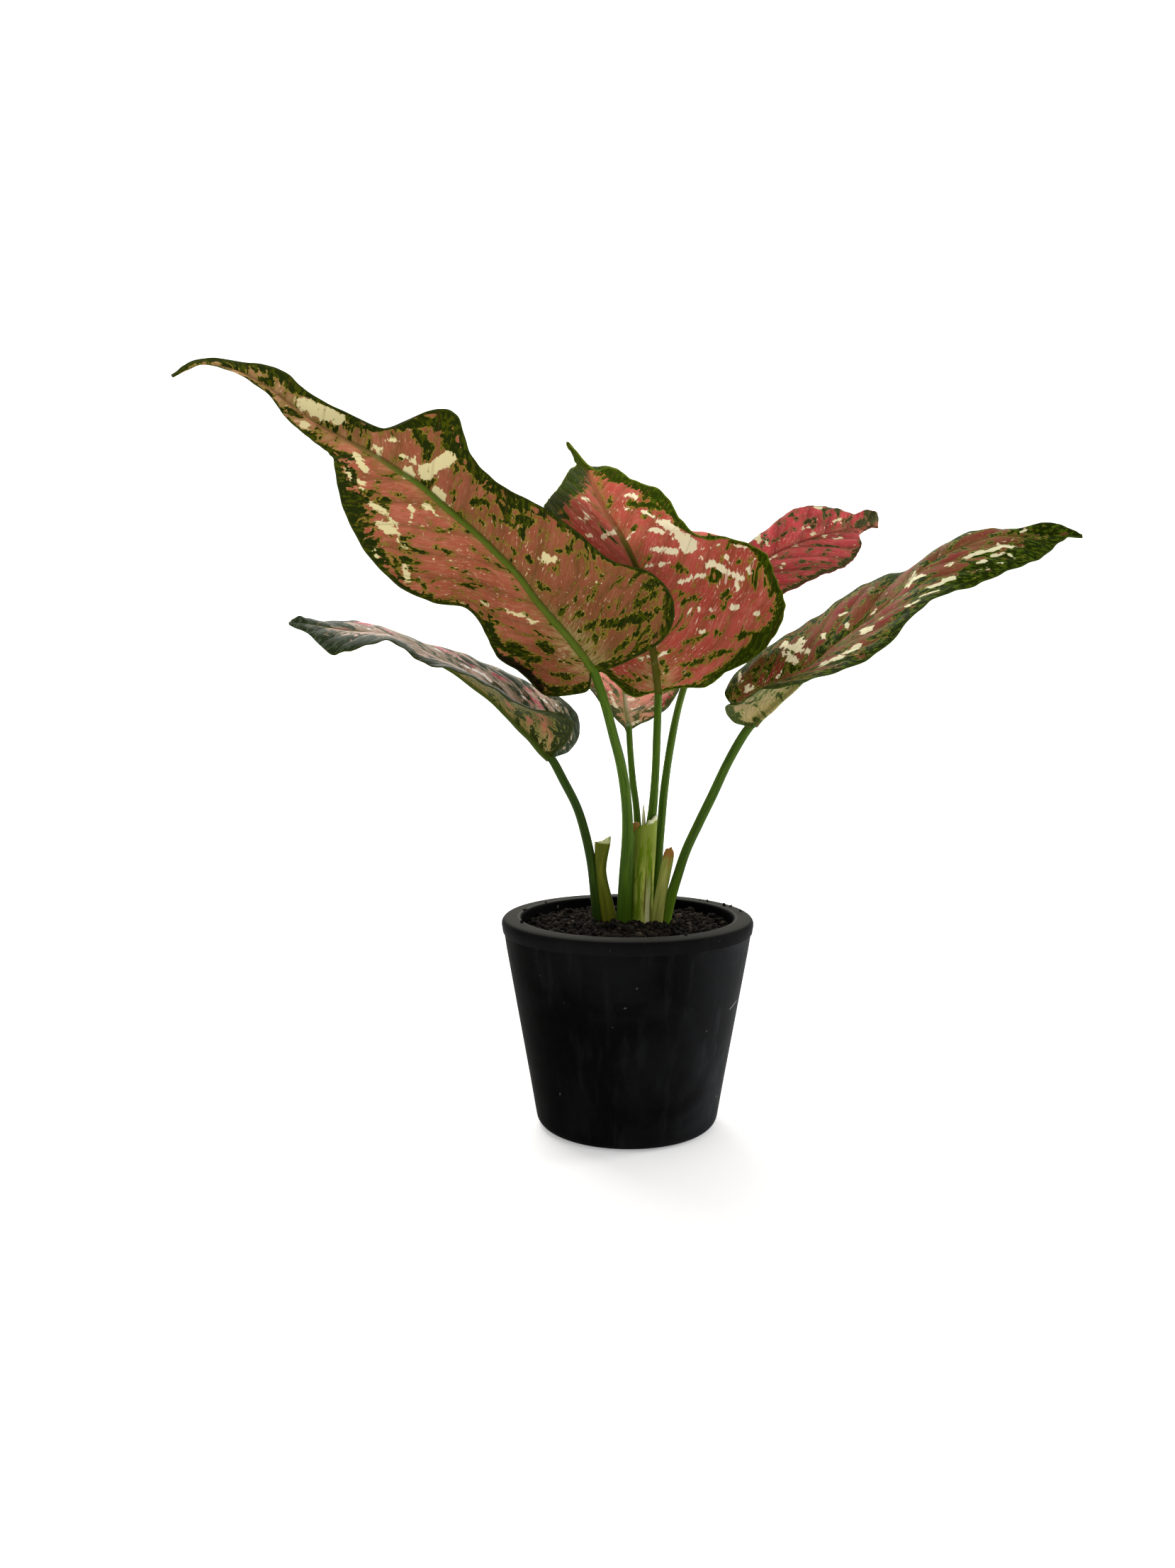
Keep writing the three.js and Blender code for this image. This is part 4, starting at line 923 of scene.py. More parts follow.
# %% The marks of the left leaf
MARKS["leaf_left"] = {
    "cream": [
        (614, 915, 620, 917, 3.4), (636, 925, 648, 931, 2.4), (668, 945, 678, 951, 3),
        (682, 952, 690, 960, 3), (734, 982, 740, 985, 2), (508, 878, 514, 879, 2),
        (520, 888, 530, 889, 1.5), (540, 893, 548, 895, 1.5), (650, 938, 660, 942, 2),
        (716, 953, 726, 961, 1.6), (763, 985, 772, 992, 1.4), (783, 996, 788, 1004, 1.4),
    ],
    "red": [
        (500, 878, 520, 882, 4), (538, 884, 552, 892, 4), (620, 913, 628, 918, 4), (652, 930, 664, 938, 5),
        (744, 984, 762, 994, 3), (742, 970, 752, 974, 4), (470, 889, 492, 889, 2.4),
        (446, 888, 452, 892, 4), (428, 875, 438, 876, 2.4), (700, 955, 716, 960, 3),
        (746, 1011, 750, 1022, 4), (768, 1016, 772, 1034, 5), (774, 1038, 778, 1056, 4),
        (762, 1008, 768, 1014, 4), (716, 992, 730, 1002, 4), (630, 918, 642, 925, 2),
    ],
    "green": [
        (790, 1022, 800, 1042, 8), (776, 1026, 784, 1034, 5), (730, 1004, 740, 1014, 5),
        (756, 1020, 760, 1040, 3), (714, 996, 722, 1004, 3), (700, 976, 712, 984, 4),
        (442, 882, 452, 902, 6), (470, 900, 484, 912, 6), (756, 1000, 764, 1004, 4),
        (524, 897, 540, 905, 4),
    ],
}

# %% The marks of the back leaf
MARKS["leaf_back"] = {
    "cream": [
        (860, 978, 869, 998, 2.4), (887, 986, 903, 991, 2.2), (893, 1022, 904, 1018, 3.5),
        (894, 1002, 902, 998, 1.4), (914, 1000, 924, 996, 1.4), (846, 966, 850, 968, 1.4),
    ],
    "green": [
        (848, 973, 855, 982, 2.4), (870, 990, 877, 1002, 2), (900, 987, 906, 992, 2),
        (921, 987, 929, 988, 2), (936, 996, 943, 997, 2), (906, 1006, 914, 1002, 1.6),
        (878, 1004, 883, 1012, 1.6), (944, 978, 950, 981, 1.8),
    ],
    "red": [
        (832, 964, 850, 976, 4), (926, 996, 946, 988, 5), (948, 984, 956, 978, 3),
    ],
}

print("marks of each leaf:", {name: sum(map(len, kinds.values())) for name, kinds in MARKS.items()})

# %% [markdown]
# ## A palette for each leaf
#
# On this plant the upper face of a blade is deep and glossy and the lower face is paler and duller,
# so most colours come in pairs: upper face first, lower face second. One colour alone stands for both
# faces. Young leaves are pinker, and each leaf has its own mix. One plain palette holds what they
# share, and each leaf changes some of it.

# %% What the leaves share
SHARED_LOOK = {
    "ground": ("#a84f4a", "#b26049"),
    "ground_two": ("#8f433b", "#a2533b"),
    "ground_light": ("#bb6a60", "#c6946c"),
    "dusk_colour": ("#6d5137", "#624420"),
    "red_colour": ("#8f2c30", "#a2503f"),
    "olive": ("#66602a", "#6e5c18"),
    "ring_colour": ("#767a22", "#867c24"),
    "cream_colour": ("#e6dcae", "#efe4b6"),
    "green_colour": ("#1e2a02", "#1e2800"),
    "green_two": ("#404c06", "#464c00"),
    "fleck": ("#e9c6b4", "#e3c3a2"),
    "beside_rib": ("#8a6a40", "#8a7a3c"),
    "fan": "#b09e66",
    "rib": ("#51661a", "#a0504a"),
    "rib_fade": (0.5, 0.8),
    "rib_strength": 0.9,
    "rib_loss": 0.7,
    "flank": "#33360c",
    "edge": "#343c0a",
    "green_level": 0.63,
    "cream_level": 0.74,
    "cream_wins": 1.8,
    "solid_edge": 0.9,
    "flecks": 0.6,
    "dusk": 0.35,
    "vein": 0.2,
    "shade": 0.3,
    "shine": 0.2,
    "tip_light": 0.0,
}

# %% What each leaf has for itself
# A band is a list of (share of the way to the tip, width of the green margin in millimetres). The
# lean says how far the lateral veins of each half run ahead, and the three numbers after it how much
# painted shade, in the dusky tone, lies on the left half, on the right half and at the base.
LEAF_TRAITS = {}

# %% What the upper left leaf has for itself
LEAF_TRAITS["leaf_upper_left"] = {
    "waves": 5, "ruffle": 0.8, "veins": 13, "pucker": 0.9, "notch": 0.08,
    "steps": 210, "columns": 38,
    "left_band": [(0, 4), (0.04, 5.5), (0.08, 4), (0.11, 5.5), (0.15, 4.5), (0.2, 1.6), (0.33, 2),
                  (0.4, 6), (0.46, 4), (0.5, 5), (0.55, 10), (0.62, 10), (0.68, 6), (0.74, 2.6),
                  (0.83, 3.6), (0.89, 2.4), (1, 1.5)],
    "right_band": [(0, 3), (0.08, 4), (0.17, 4.5), (0.26, 4), (0.36, 2), (0.42, 3.2), (0.48, 6),
                   (0.54, 9.5), (0.6, 9), (0.65, 2.5), (0.7, 0.4), (0.8, 0.3), (1, 0.5)],
    "lean": (0.35, 1.1), "dull": (0.28, 0.0, 0.5),
    "look": {
        "dusk": 0.42, "flecks": 0.6, "rib": ("#51661a", "#a8684a"), "tip_light": 1.0,
        "cream_colour": ("#e6dcae", "#dfd29c"),
    },
}

# %% What the middle leaf has for itself
LEAF_TRAITS["leaf_middle"] = {
    "waves": 6, "ruffle": 0.9, "veins": 11, "pucker": 0.8, "notch": 0.2,
    "steps": 200, "columns": 40,
    "left_band": [(0, 2.5), (0.1, 3), (0.2, 4), (0.26, 7), (0.31, 7), (0.36, 3.5), (0.45, 3.5),
                  (0.5, 4.4), (0.56, 3), (0.62, 4), (0.66, 5), (0.69, 4), (0.72, 7), (0.75, 12),
                  (0.8, 13), (0.84, 12), (0.88, 10), (0.93, 8), (1, 8)],
    "right_band": [(0, 3), (0.1, 4), (0.3, 3), (0.41, 3), (0.55, 6), (0.62, 10), (0.7, 13), (0.8, 16),
                   (0.86, 16), (0.9, 14), (1, 10)],
    "lean": (0.8, 0.8), "dull": (0.0, 0.0, 0.1),
    "look": {
        "edge": "#5e6c0c", "shine": 0.025,
        "ground": ("#e87464", "#cc5e50"), "ground_two": ("#ca5448", "#b64a3c"),
        "ground_light": "#e89e82", "dusk": 0.18,
        "dusk_colour": "#86522c", "red_colour": ("#b2403c", "#b4463f"),
        "olive": "#7e6424", "ring_colour": "#948f2a",
        "green_colour": ("#2b3c00", "#2b3a00"), "green_two": ("#526606", "#4e6006"),
        "cream_colour": "#fff4cc", "fleck": "#f4d4bc",
        "rib": ("#4c5010", "#a35a42"), "rib_fade": (0.52, 0.7), "flecks": 0.8, "green_level": 0.66,
        "solid_edge": 8.0, "rib_loss": 0.5, "flank": "#5a3a14", "cream_wins": 3.0,
    },
}

# %% What the back right leaf has for itself
LEAF_TRAITS["leaf_back_right"] = {
    "waves": 4, "ruffle": 0.5, "veins": 9, "pucker": 0.9, "notch": 0.1,
    "steps": 140, "columns": 30,
    "left_band": [(0, 0.4), (0.8, 0.4), (0.88, 3), (1, 3)],
    "right_band": [(0, 1), (0.3, 1.5), (0.6, 2.5), (0.75, 3), (0.9, 3), (1, 3)],
    "lean": (1.2, 1.2), "dull": (0.0, 0.22, 0.0),
    "look": {
        "edge": "#6a3024",
        "ground": ("#d04c50", "#a05a4c"), "ground_two": ("#ac383e", "#8f4a3c"),
        "ground_light": ("#e88e80", "#c07a60"), "dusk": 0.18, "dusk_colour": ("#55341e", "#6f4c24"),
        "olive": ("#5c4a26", "#76661f"), "ring_colour": ("#6f6a38", "#8f8a30"),
        "green_colour": ("#3a3a1c", "#2c3304"), "green_two": ("#50502c", "#4a4c08"),
        "fleck": ("#f3c8b8", "#e3c3a2"), "flecks": 1.0, "rib": ("#8c3034", "#8a4a3c"),
        "rib_strength": 0.45, "flank": "#8a2c30",
        "green_level": 0.65, "vein": 0.3, "shade": 0.3, "shine": 0.015,
    },
}

# %% What the right leaf has for itself
LEAF_TRAITS["leaf_right"] = {
    "waves": 5, "ruffle": 0.6, "veins": 9, "pucker": 0.7, "notch": 0.1,
    "steps": 200, "columns": 38,
    "left_band": [(0, 4), (0.12, 6), (0.24, 5), (0.3, 4), (0.41, 5), (0.5, 5), (0.6, 2.5),
                  (0.7, 1), (0.76, 0.8), (0.82, 3), (0.88, 8), (1, 8)],
    "right_band": [(0, 3), (0.1, 3), (0.3, 3), (0.4, 4), (0.5, 5.5), (0.6, 8), (0.68, 11),
                   (0.8, 11), (0.9, 10), (1, 7)],
    "lean": (1.6, 1.6), "dull": (0.1, 0.0, 0.1),
    "look": {
        "edge": "#3c4a18",
        "ground": ("#8a4834", "#988260"), "ground_two": ("#703420", "#80704a"),
        "ground_light": ("#a0714e", "#b8aa80"), "dusk": 0.55, "dusk_colour": ("#564a1c", "#6f7040"),
        "olive": ("#5a5a24", "#6f7038"), "ring_colour": ("#848a34", "#7c8240"),
        "green_colour": ("#222e04", "#303c10"), "green_two": ("#566a12", "#4a5420"),
        "red_colour": ("#86302a", "#8c4038"), "cream_colour": ("#f2ecc0", "#d8d2a4"),
        "rib": ("#6a4030", "#66702c"), "green_level": 0.57, "vein": 0.2, "shade": 0.3, "shine": 0.012,
        "rib_fade": (0.0, 0.05), "cream_wins": 3.4,
    },
}

# %% What the left leaf has for itself
LEAF_TRAITS["leaf_left"] = {
    "waves": 4, "ruffle": 0.6, "veins": 10, "pucker": 0.5, "notch": 0.1,
    "steps": 180, "columns": 32,
    "left_band": [(0, 9), (0.15, 8), (0.3, 4), (0.68, 5), (0.76, 13), (0.85, 18), (1, 18)],
    "right_band": [(0, 12), (0.15, 10), (0.3, 2), (0.7, 2), (0.78, 8), (0.88, 14), (1, 14)],
    "lean": (1.0, 1.2), "dull": (0.0, 0.0, 0.2),
    "look": {
        "shine": 0.03, "vein": 0.06, "shade": 0.12,
        # On the upper face the pale pinkish ground and its near-white lighter patches are partly the leaf's
        # colour and partly a painted sheen.
        "ground": ("#caa690", "#6e5e34"), "ground_two": ("#94866a", "#504c1e"),
        "ground_light": ("#fff2ea", "#887850"), "dusk": 0.62, "dusk_colour": ("#4e4a2e", "#403e16"),
        "olive": ("#4c4e2c", "#484a18"), "ring_colour": ("#5a6034", "#6c6e30"),
        "green_colour": ("#263218", "#1e2804"), "green_two": ("#525c46", "#363e0c"),
        "red_colour": ("#c4606a", "#9a5844"), "cream_colour": ("#fbf8ee", "#c9c08e"),
        "rib": ("#38480e", "#5e6a26"), "green_level": 0.57, "rib_loss": 0.2, "solid_edge": 4.0,
        "fleck": ("#fbeee4", "#c9b48e"), "flecks": 1.0,
    },
}

# %% What the back leaf has for itself
LEAF_TRAITS["leaf_back"] = {
    "waves": 4, "ruffle": 0.7, "veins": 8, "pucker": 0.4, "notch": 0.1,
    "steps": 110, "columns": 28,
    "left_band": [(0, 3), (1, 3)],
    "right_band": [(0, 3), (1, 3)],
    "lean": (0.8, 0.8), "dull": (0.0, 0.0, 0.0),
    "look": {
        "ground": "#ee9a8a", "ground_two": "#dc7468",
        "ground_light": "#fad0b0", "dusk": 0.12,
        "olive": "#8a8038", "green_colour": "#3c440c",
        "green_two": "#5c641c", "cream_colour": "#ece0bc",
        "flecks": 1.0, "rib": "#7a7c34", "green_level": 0.61, "flank": "#a8845a",
    },
}

# %% Put the tables together
LEAVES = {}
for number, (leaf_name, traits) in enumerate(LEAF_TRAITS.items(), 1):
    length = np.linalg.norm(np.subtract(BLADE_ROWS[leaf_name][0][0], BLADE_ROWS[leaf_name][-1][0]))
    LEAVES[leaf_name] = {
        **traits,
        "seed": number,
        "blade": BLADE_ROWS[leaf_name],
        "petiole": PETIOLE_ROWS[leaf_name],
        "marks": MARKS[leaf_name],
        "length": float(length),
        "look": {**SHARED_LOOK, **traits["look"]},
    }
print("leaves:", ", ".join(LEAVES))

# %% [markdown]
# ## Blades
#
# A blade is a thin sheet with a thick midrib. It bends, folds and ripples at once, which is hard to
# pose with modifiers. Here each blade is a surface between three curves: its midrib and its two
# margins. Every row of the table is one cross vein. Between the curves the sheet bows up a little,
# puckers between its lateral veins, and ripples at the margin. Two copies of the sheet, a little
# apart and joined round the edge, make it solid, and the lower copy carries the midrib's ridge.
#
# A blade's colours belong to places on it, so each point also stores its measures: how far it is down
# its lateral vein and across the veins, from the margin, from the midrib, and inside or outside the
# marks of each kind. These are in millimetres. The way along the leaf is a share, and the veins are
# counted. The material turns these smooth measures into ragged marks.

# %% The grid and the veins of a blade
BLADE_THICKNESS, BLADE_BOW, EDGE_ROUNDING, GROOVE_DEPTH = 0.8, 0.06, 0.22, 0.35
VEIN_CURVE = 0.003
RIDGE_SHARES = np.array([0, 0.25, 0.5, 0.75, 1.0, 1.35, 1.9])


def blade_grid(leaf, steps, columns):
    """Shares of the way along, and from -1 on the left margin to 1 on the right, for every point."""
    u = np.linspace(0, 1, steps + 1)
    halves = []
    for side in (1, 2):
        edge = through([row[side] for row in leaf["blade"]], u)
        middle = through([row[0] for row in leaf["blade"]], u)
        half = np.linalg.norm(edge - middle, axis=1)
        rib = RIDGE_SHARES * np.minimum(rib_width(u) / half, 0.16)[:, None]
        rest = np.linspace(0, 1, columns + 1)[1:]
        out = rib[:, -1:] + (1 - rib[:, -1:]) * rest[None] ** 0.92
        halves.append(np.hstack([rib, out]))
    v = np.hstack([-halves[0][:, :0:-1], halves[1]])
    return u, v


def rib_width(u):
    """Half the width of the midrib's ridge, in millimetres."""
    return 0.35 + 1.5 * (1 - u) ** 0.9


def cross_veins(leaf, u, v):
    """The midrib's points and direction at u, and the way out from them to the margin at each v."""
    rows = leaf["blade"]
    middle = through([row[0] for row in rows], u)
    ahead = through([row[0] for row in rows], np.minimum(u + 1e-4, 1))
    behind = through([row[0] for row in rows], np.maximum(u - 1e-4, 0))
    left = through([row[1] for row in rows], u) - middle
    right = through([row[2] for row in rows], u) - middle
    out = np.where((v < 0)[..., None], left[:, None], right[:, None])
    return middle[:, None], unit(ahead - behind)[:, None], out


def vein_place(leaf, u, v):
    """Where the vein through each point leaves the midrib, and how far off that point is."""
    middle, along, out = cross_veins(leaf, u, v)
    reach = out * np.abs(v)[..., None]
    ahead = (reach * along).sum(-1)
    beyond = np.linalg.norm(reach - along * ahead[..., None], axis=-1)
    lean = np.where(v < 0, *leaf["lean"])
    return leaf["length"] * u[:, None] + ahead - lean * beyond - VEIN_CURVE * beyond**2, beyond


def vein_row(leaf, u, v):
    """Counts the lateral veins: it is whole on a vein and half between two of them."""
    return vein_place(leaf, u, v)[0] / leaf["length"] * leaf["veins"] + 0.25 * np.sign(v)


# %% The sheet between the three curves
def sheet_points(leaf, u, v):
    """Points of the middle sheet, for shares u along (a column) and v across (a table)."""
    middle, along, out = cross_veins(leaf, u, v)
    up = unit(np.cross(out, along)) * np.where(v < 0, -1, 1)[..., None]
    a = np.abs(v)
    half = np.linalg.norm(out, axis=-1)
    bow = BLADE_BOW * half * 4 * a * (1 - a)
    around = np.sin(2 * np.pi * leaf["waves"] * u[:, None] + 3 * np.where(v < 0, -1, 1))
    ripple = leaf["ruffle"] * a**3 * np.sin(np.pi * u)[:, None] * around
    frill = 0.28 * a**6 * np.sin(2 * np.pi * leaf["waves"] * 3.7 * u[:, None] + 5 * v)
    pucker = np.abs(np.sin(np.pi * vein_row(leaf, u, v))) - 0.6
    pucker = leaf["pucker"] * pucker * np.abs(np.sin(np.pi * a)) ** 0.7 * np.minimum(half / 25, 1)
    teeth = np.sin(151 * u[:, None] + 4 * np.sign(v)) * np.sin(67 * u[:, None]) + np.sin(233 * u[:, None])
    teeth = leaf["notch"] * teeth * a**8 * np.sin(np.pi * u)[:, None]
    raised = up * (bow + ripple + frill + pucker)[..., None]
    return middle + out * a[..., None] + unit(out) * teeth[..., None] + raised, half


# %% Throw the marks onto a blade
# A point this many pixels from a mark's end still counts as seen there, so that of two layers of the
# leaf the nearer one is marked. Far from all marks a field reads this many millimetres.
CLOSE_PIXELS, NO_MARK = 3.0, -6.0


def seen_at(points):
    """The column and row at which points (in millimetres) are seen, and how far off they are."""
    ray = points * MM - np.array(camera.location)
    depth = ray @ np.array(forward)
    column = IMAGE_WIDTH / 2 + FOCAL_PIXELS * (ray @ np.array(rightward)) / depth
    row = IMAGE_HEIGHT / 2 - FOCAL_PIXELS * (ray @ np.array(upward)) / depth
    return column, row, depth / MM


def thrown(sheet, marks):
    """Marks as stretches on the blade: both ends, and half the width in millimetres."""
    column, row, depth = seen_at(sheet)
    stretches = []
    for *ends, radius in marks:
        found = []
        for x, y in (ends[:2], ends[2:]):
            miss = np.hypot(column - x, row - y)
            near = np.where(miss < max(CLOSE_PIXELS, miss.min() + 0.5), depth + 2 * miss, np.inf)
            found.append(np.unravel_index(near.argmin(), near.shape))
        start, end = found
        half_width = radius * (depth[start] + depth[end]) / 2 / FOCAL_PIXELS
        stretches.append((sheet[start], sheet[end], half_width))
    return stretches


def mark_field(sheet, marks):
    """Millimetres inside (above 0) or outside (below 0) the nearest of the marks."""
    field = np.full(sheet.shape[:2], NO_MARK)
    for start, end, half_width in thrown(sheet, marks):
        run = end - start
        share = np.clip(((sheet - start) @ run) / (run @ run + 1e-9), 0, 1)
        gap = np.linalg.norm(sheet - start - share[..., None] * run, axis=-1)
        field = np.maximum(field, half_width - gap)
    return field


def along_margin(u, knots):
    places, widths = zip(*knots)
    return np.interp(u, places, widths)


# %% Build one blade
def build_blade(name, leaf, steps, columns):
    u, v = blade_grid(leaf, steps, columns)
    sheet, half = sheet_points(leaf, u, v)
    sideways, lengthwise = np.gradient(sheet, axis=1), np.gradient(sheet, axis=0)
    normal = unit(np.cross(sideways, lengthwise))
    normal[-1] = normal[-2]
    a = np.abs(v)
    thick = BLADE_THICKNESS / 2 * (1 - 0.5 * np.clip((a - 0.9) / 0.1, 0, 1))
    across = np.clip(a * half / rib_width(u)[:, None], 0, 1)
    ridge = (0.3 + 1.7 * (1 - u) ** 1.3)[:, None] * (0.5 + 0.5 * np.cos(np.pi * across))
    groove = GROOVE_DEPTH * (1 - u)[:, None] * (0.5 + 0.5 * np.cos(np.pi * across))
    upper = sheet + normal * (thick - groove)[..., None]
    lower = sheet - normal * (thick + ridge)[..., None]
    left_rim = sheet[:, :1] + unit(sheet[:, :1] - sheet[:, 1:2]) * EDGE_ROUNDING
    right_rim = sheet[:, -1:] + unit(sheet[:, -1:] - sheet[:, -2:-1]) * EDGE_ROUNDING
    rings = np.concatenate([upper, right_rim, lower[:, ::-1], left_rim], axis=1)

    def wrapped(values):
        """Values of the sheet, carried round both of its faces in the order of the rings."""
        values = np.broadcast_to(values, v.shape)
        return np.concatenate([values, values[:, -1:], values[:, ::-1], values[:, :1]], axis=1).ravel()

    margin = (1 - a) * half
    left_band, right_band = along_margin(u, leaf["left_band"]), along_margin(u, leaf["right_band"])
    band = np.where(v < 0, left_band[:, None], right_band[:, None]) - margin
    # The side is 0 on the upper face, 1 on the lower one, and between them on the edge.
    edge_side = np.full((len(u), 1), 0.5)
    sides = np.zeros_like(v), edge_side, np.ones_like(v), edge_side
    course, beyond = vein_place(leaf, u, v)
    lean = np.where(v < 0, *leaf["lean"])
    slope = np.hypot(1, lean)
    between = course / slope
    down_vein = (slope * beyond + course * lean / slope) * np.where(v < 0, -1, 1)
    seed = np.full(v.shape, 7.0 * leaf["seed"])
    # Painted shade: a dusky tone on the half of the blade, and on its base, that lies in shade.
    left_painted_shade, right_painted_shade, base_painted_shade = leaf["dull"]
    dull = np.where(v < 0, left_painted_shade, right_painted_shade) + base_painted_shade * np.clip(1 - u / 0.35, 0, 1)[:, None]
    measures = {
        "sheet": np.stack([wrapped(between), wrapped(down_vein), wrapped(seed)], -1),
        "dull": wrapped(dull),
        "margin": wrapped(margin),
        "rib": wrapped(0.62 * rib_width(u)[:, None] - a * half),
        "row": wrapped(vein_row(leaf, u, v)),
        "band": wrapped(band),
        "side": np.concatenate(sides, axis=1).ravel(),
        "along": wrapped(u[:, None]),
    }
    for kind in ("cream", "green", "red", "fold"):
        measures[kind] = wrapped(mark_field(sheet, leaf["marks"].get(kind, [])))
    return make_piece(name, rings.reshape(-1, 3), ring_faces(len(u), rings.shape[1]), measures)


# %% [markdown]
# ## Leaf colours
#
# The same marks show on both faces of a blade, more vividly on top. So each colour is chosen from the
# side that a point is on, and then the colours are laid over each other in the order in which they
# cover: pink ground, its paler patches, dusky patches with painted shade on shaded halves and bases,
# red flush, the painted shade beside the veins, olive haze, cream, dark green, fine flecks, midrib, the
# painted shade of a rolled margin, edge. A painted texture would do for one view, but noise in the
# measures of the leaf, stretched along its lateral veins, makes every edge ragged in the way of the
# plant and holds at any distance.

# %% How far each kind of mark covers a place
def mark_layers(bench, look, sheet):
    """Shares from 0 to 1, by the name of the layer. All noise runs along the lateral veins."""
    margin, clouds = bench.measure("margin"), bench.noise(sheet, 0.055, 2.0, 0.5, 0.4)
    ragged = bench.noise(sheet.stretched(1.0, 0.5, 1.0), 0.5, 3.0, 0.52, 0.9) - 0.5
    crisp = bench.noise(sheet.stretched(1.0, 0.6, 1.3), 1.3, 1.0, 0.5, 0.4) - 0.5
    blots = bench.noise(sheet.stretched(1.0, 0.4, 2.0), 0.26, 4.0, 0.56, 0.7)
    islands = bench.noise(sheet.stretched(1.0, 0.7, 3.0), 0.4, 2.0, 0.5, 0.5)
    streaks = bench.noise(sheet.stretched(1.0, 0.3, 4.0), 1.5, 2.0, 0.5, 0.3)

    near_margin = 1 - margin.rise(1.0, 13.0)
    scattered_green = (blots - (look["green_level"] - 0.07 * near_margin)) * 14.0
    holes = islands.rise(0.53, 0.58) * margin.rise(look["solid_edge"], look["solid_edge"] + 1.5)
    bands = bench.measure("band") - holes * 8.0
    placed_green = bench.measure("green") + (blots - 0.5) * 4.0 - 0.2
    greens = placed_green.over(bands).over(scattered_green) + ragged * 5.0 + crisp * 2.6
    greens = greens - bench.measure("cream").rise(-0.2, 0.6) * look["cream_wins"]
    scattered_cream = (islands - look["cream_level"]) * 12.0
    placed_cream = bench.measure("cream") + (islands - 0.5) * 6.0 + 0.1
    creams = placed_cream.over(scattered_cream) + ragged * 2.8 + crisp * 1.2
    mottle = bench.noise(sheet.stretched(1.0, 0.5, 5.0), 0.9, 2.0, 0.5, 0.3)
    return {
        "clouds": clouds.rise(0.35, 0.65),
        # The dusky tone: random dusky blots, plus the painted shade stored with each blade.
        "dusk": blots.rise(0.44, 0.62) * look["dusk"] + bench.measure("dull"),
        "red": (bench.measure("red") + ragged * 6.0).rise(-2.2, 0.8),
        "haze": greens.rise(-2.2, -0.6),
        "ring": greens.rise(-0.7, -0.2),
        "core": greens.rise(-0.1, 0.2),
        "mottle": mottle.rise(0.48, 0.62) * 0.8,
        "cream": creams.rise(-0.2, 0.35),
        "flecks": (streaks + clouds * 0.4).rise(0.9, 0.93) * look["flecks"],
    }


# %% The finish of a blade
def leaf_finish(name, leaf):
    look = leaf["look"]
    material, bench = finish_of(name)
    sheet = bench.measure("sheet", "Vector")
    side = bench.measure("side").rise(0.45, 0.55)
    margin, rib, along = (bench.measure(key) for key in ("margin", "rib", "along"))
    tissue = bench.noise(sheet.stretched(1.0, 0.2, 1.0), 1.4, 3.0, 0.6)
    speckle = bench.noise(sheet.stretched(1.0, 0.5, 1.0), 2.6, 2.0, 0.6)
    layers = mark_layers(bench, look, sheet)

    def pair(key):
        return (look[key], look[key]) if isinstance(look[key], str) else look[key]

    def tone(key):
        """The colour of the upper face, and on the lower face that of the lower one."""
        return bench.mix(side, *pair(key))

    from_vein = (0.5 - abs(bench.measure("row") % 1.0 - 0.5)) * (leaf["length"] / leaf["veins"])
    vein = 1 - from_vein.rise(0.1, 0.6)
    valley = 1 - from_vein.rise(0.4, 3.6)

    ground = bench.mix(layers["clouds"], tone("ground"), tone("ground_two"))
    paling = tissue.rise(0.45, 0.72) * 0.4 + speckle.rise(0.56, 0.7) * 0.3
    paling = paling + along.rise(0.55, 0.9) * look["tip_light"]
    lighter = bench.mix(paling, ground, tone("ground_light"))
    dusk = bench.mix(layers["dusk"], lighter, tone("dusk_colour"))
    flushed = bench.mix(layers["red"], dusk, tone("red_colour"))
    shaded = bench.mix(valley * look["shade"], flushed, tone("dusk_colour"))
    near_rib = rib.rise(-5.0, -0.4) * tissue.rise(0.3, 0.6) * 0.45
    greener = bench.mix(near_rib, shaded, tone("beside_rib"))
    fan = (1 - along.rise(0.08, 0.24)) * rib.rise(-14.0, -1.0) * tissue.rise(0.3, 0.6)
    fanned = bench.mix(fan * 0.75, greener, tone("fan"))
    hazed = bench.mix(layers["haze"] * 0.18, fanned, tone("olive"))
    creamed = bench.mix(layers["cream"], hazed, tone("cream_colour"))
    ringed = bench.mix(layers["ring"] * 0.75, creamed, tone("ring_colour"))
    green = bench.mix(layers["mottle"], tone("green_colour"), tone("green_two"))
    greened = bench.mix(layers["core"], ringed, green)
    flecked = bench.mix(layers["flecks"] * (1 - layers["core"]), greened, tone("fleck"))
    veined = bench.mix(vein * look["vein"], flecked, tone("dusk_colour"))

    fading = along.rise(*look["rib_fade"])
    kept = (1 - fading * look["rib_loss"]) * (1 - along.rise(0.84, 0.94)) * look["rib_strength"]
    spine = bench.mix(fading, *pair("rib"))
    flanked = bench.mix(rib.rise(-0.7, -0.2) * kept * 0.6, veined, look["flank"])
    ribbed = bench.mix(rib.rise(-0.2, 0.25) * kept, flanked, spine)
    # Painted shade along the rolled margin.
    fold_shaded = bench.mix(bench.measure("fold").rise(-0.4, 0.3) * 0.92, ribbed, "#140f06")
    edged = bench.mix((1 - margin.rise(0.15, 0.6)) * 0.85, fold_shaded, look["edge"])

    bumps = bench.swell(tissue * 0.5 - vein * 0.7 + speckle * 0.3, 0.0004, 0.55)
    upper = surface_of(bench, edged, 0.36 + tissue * 0.14, look["shine"], bumps)
    lower = surface_of(bench, edged, 0.62, 0.05, bumps)
    both = bench.wire("ShaderNodeMixShader", None, {0: side, 1: upper, 2: lower})
    close_finish(bench, both)
    return material


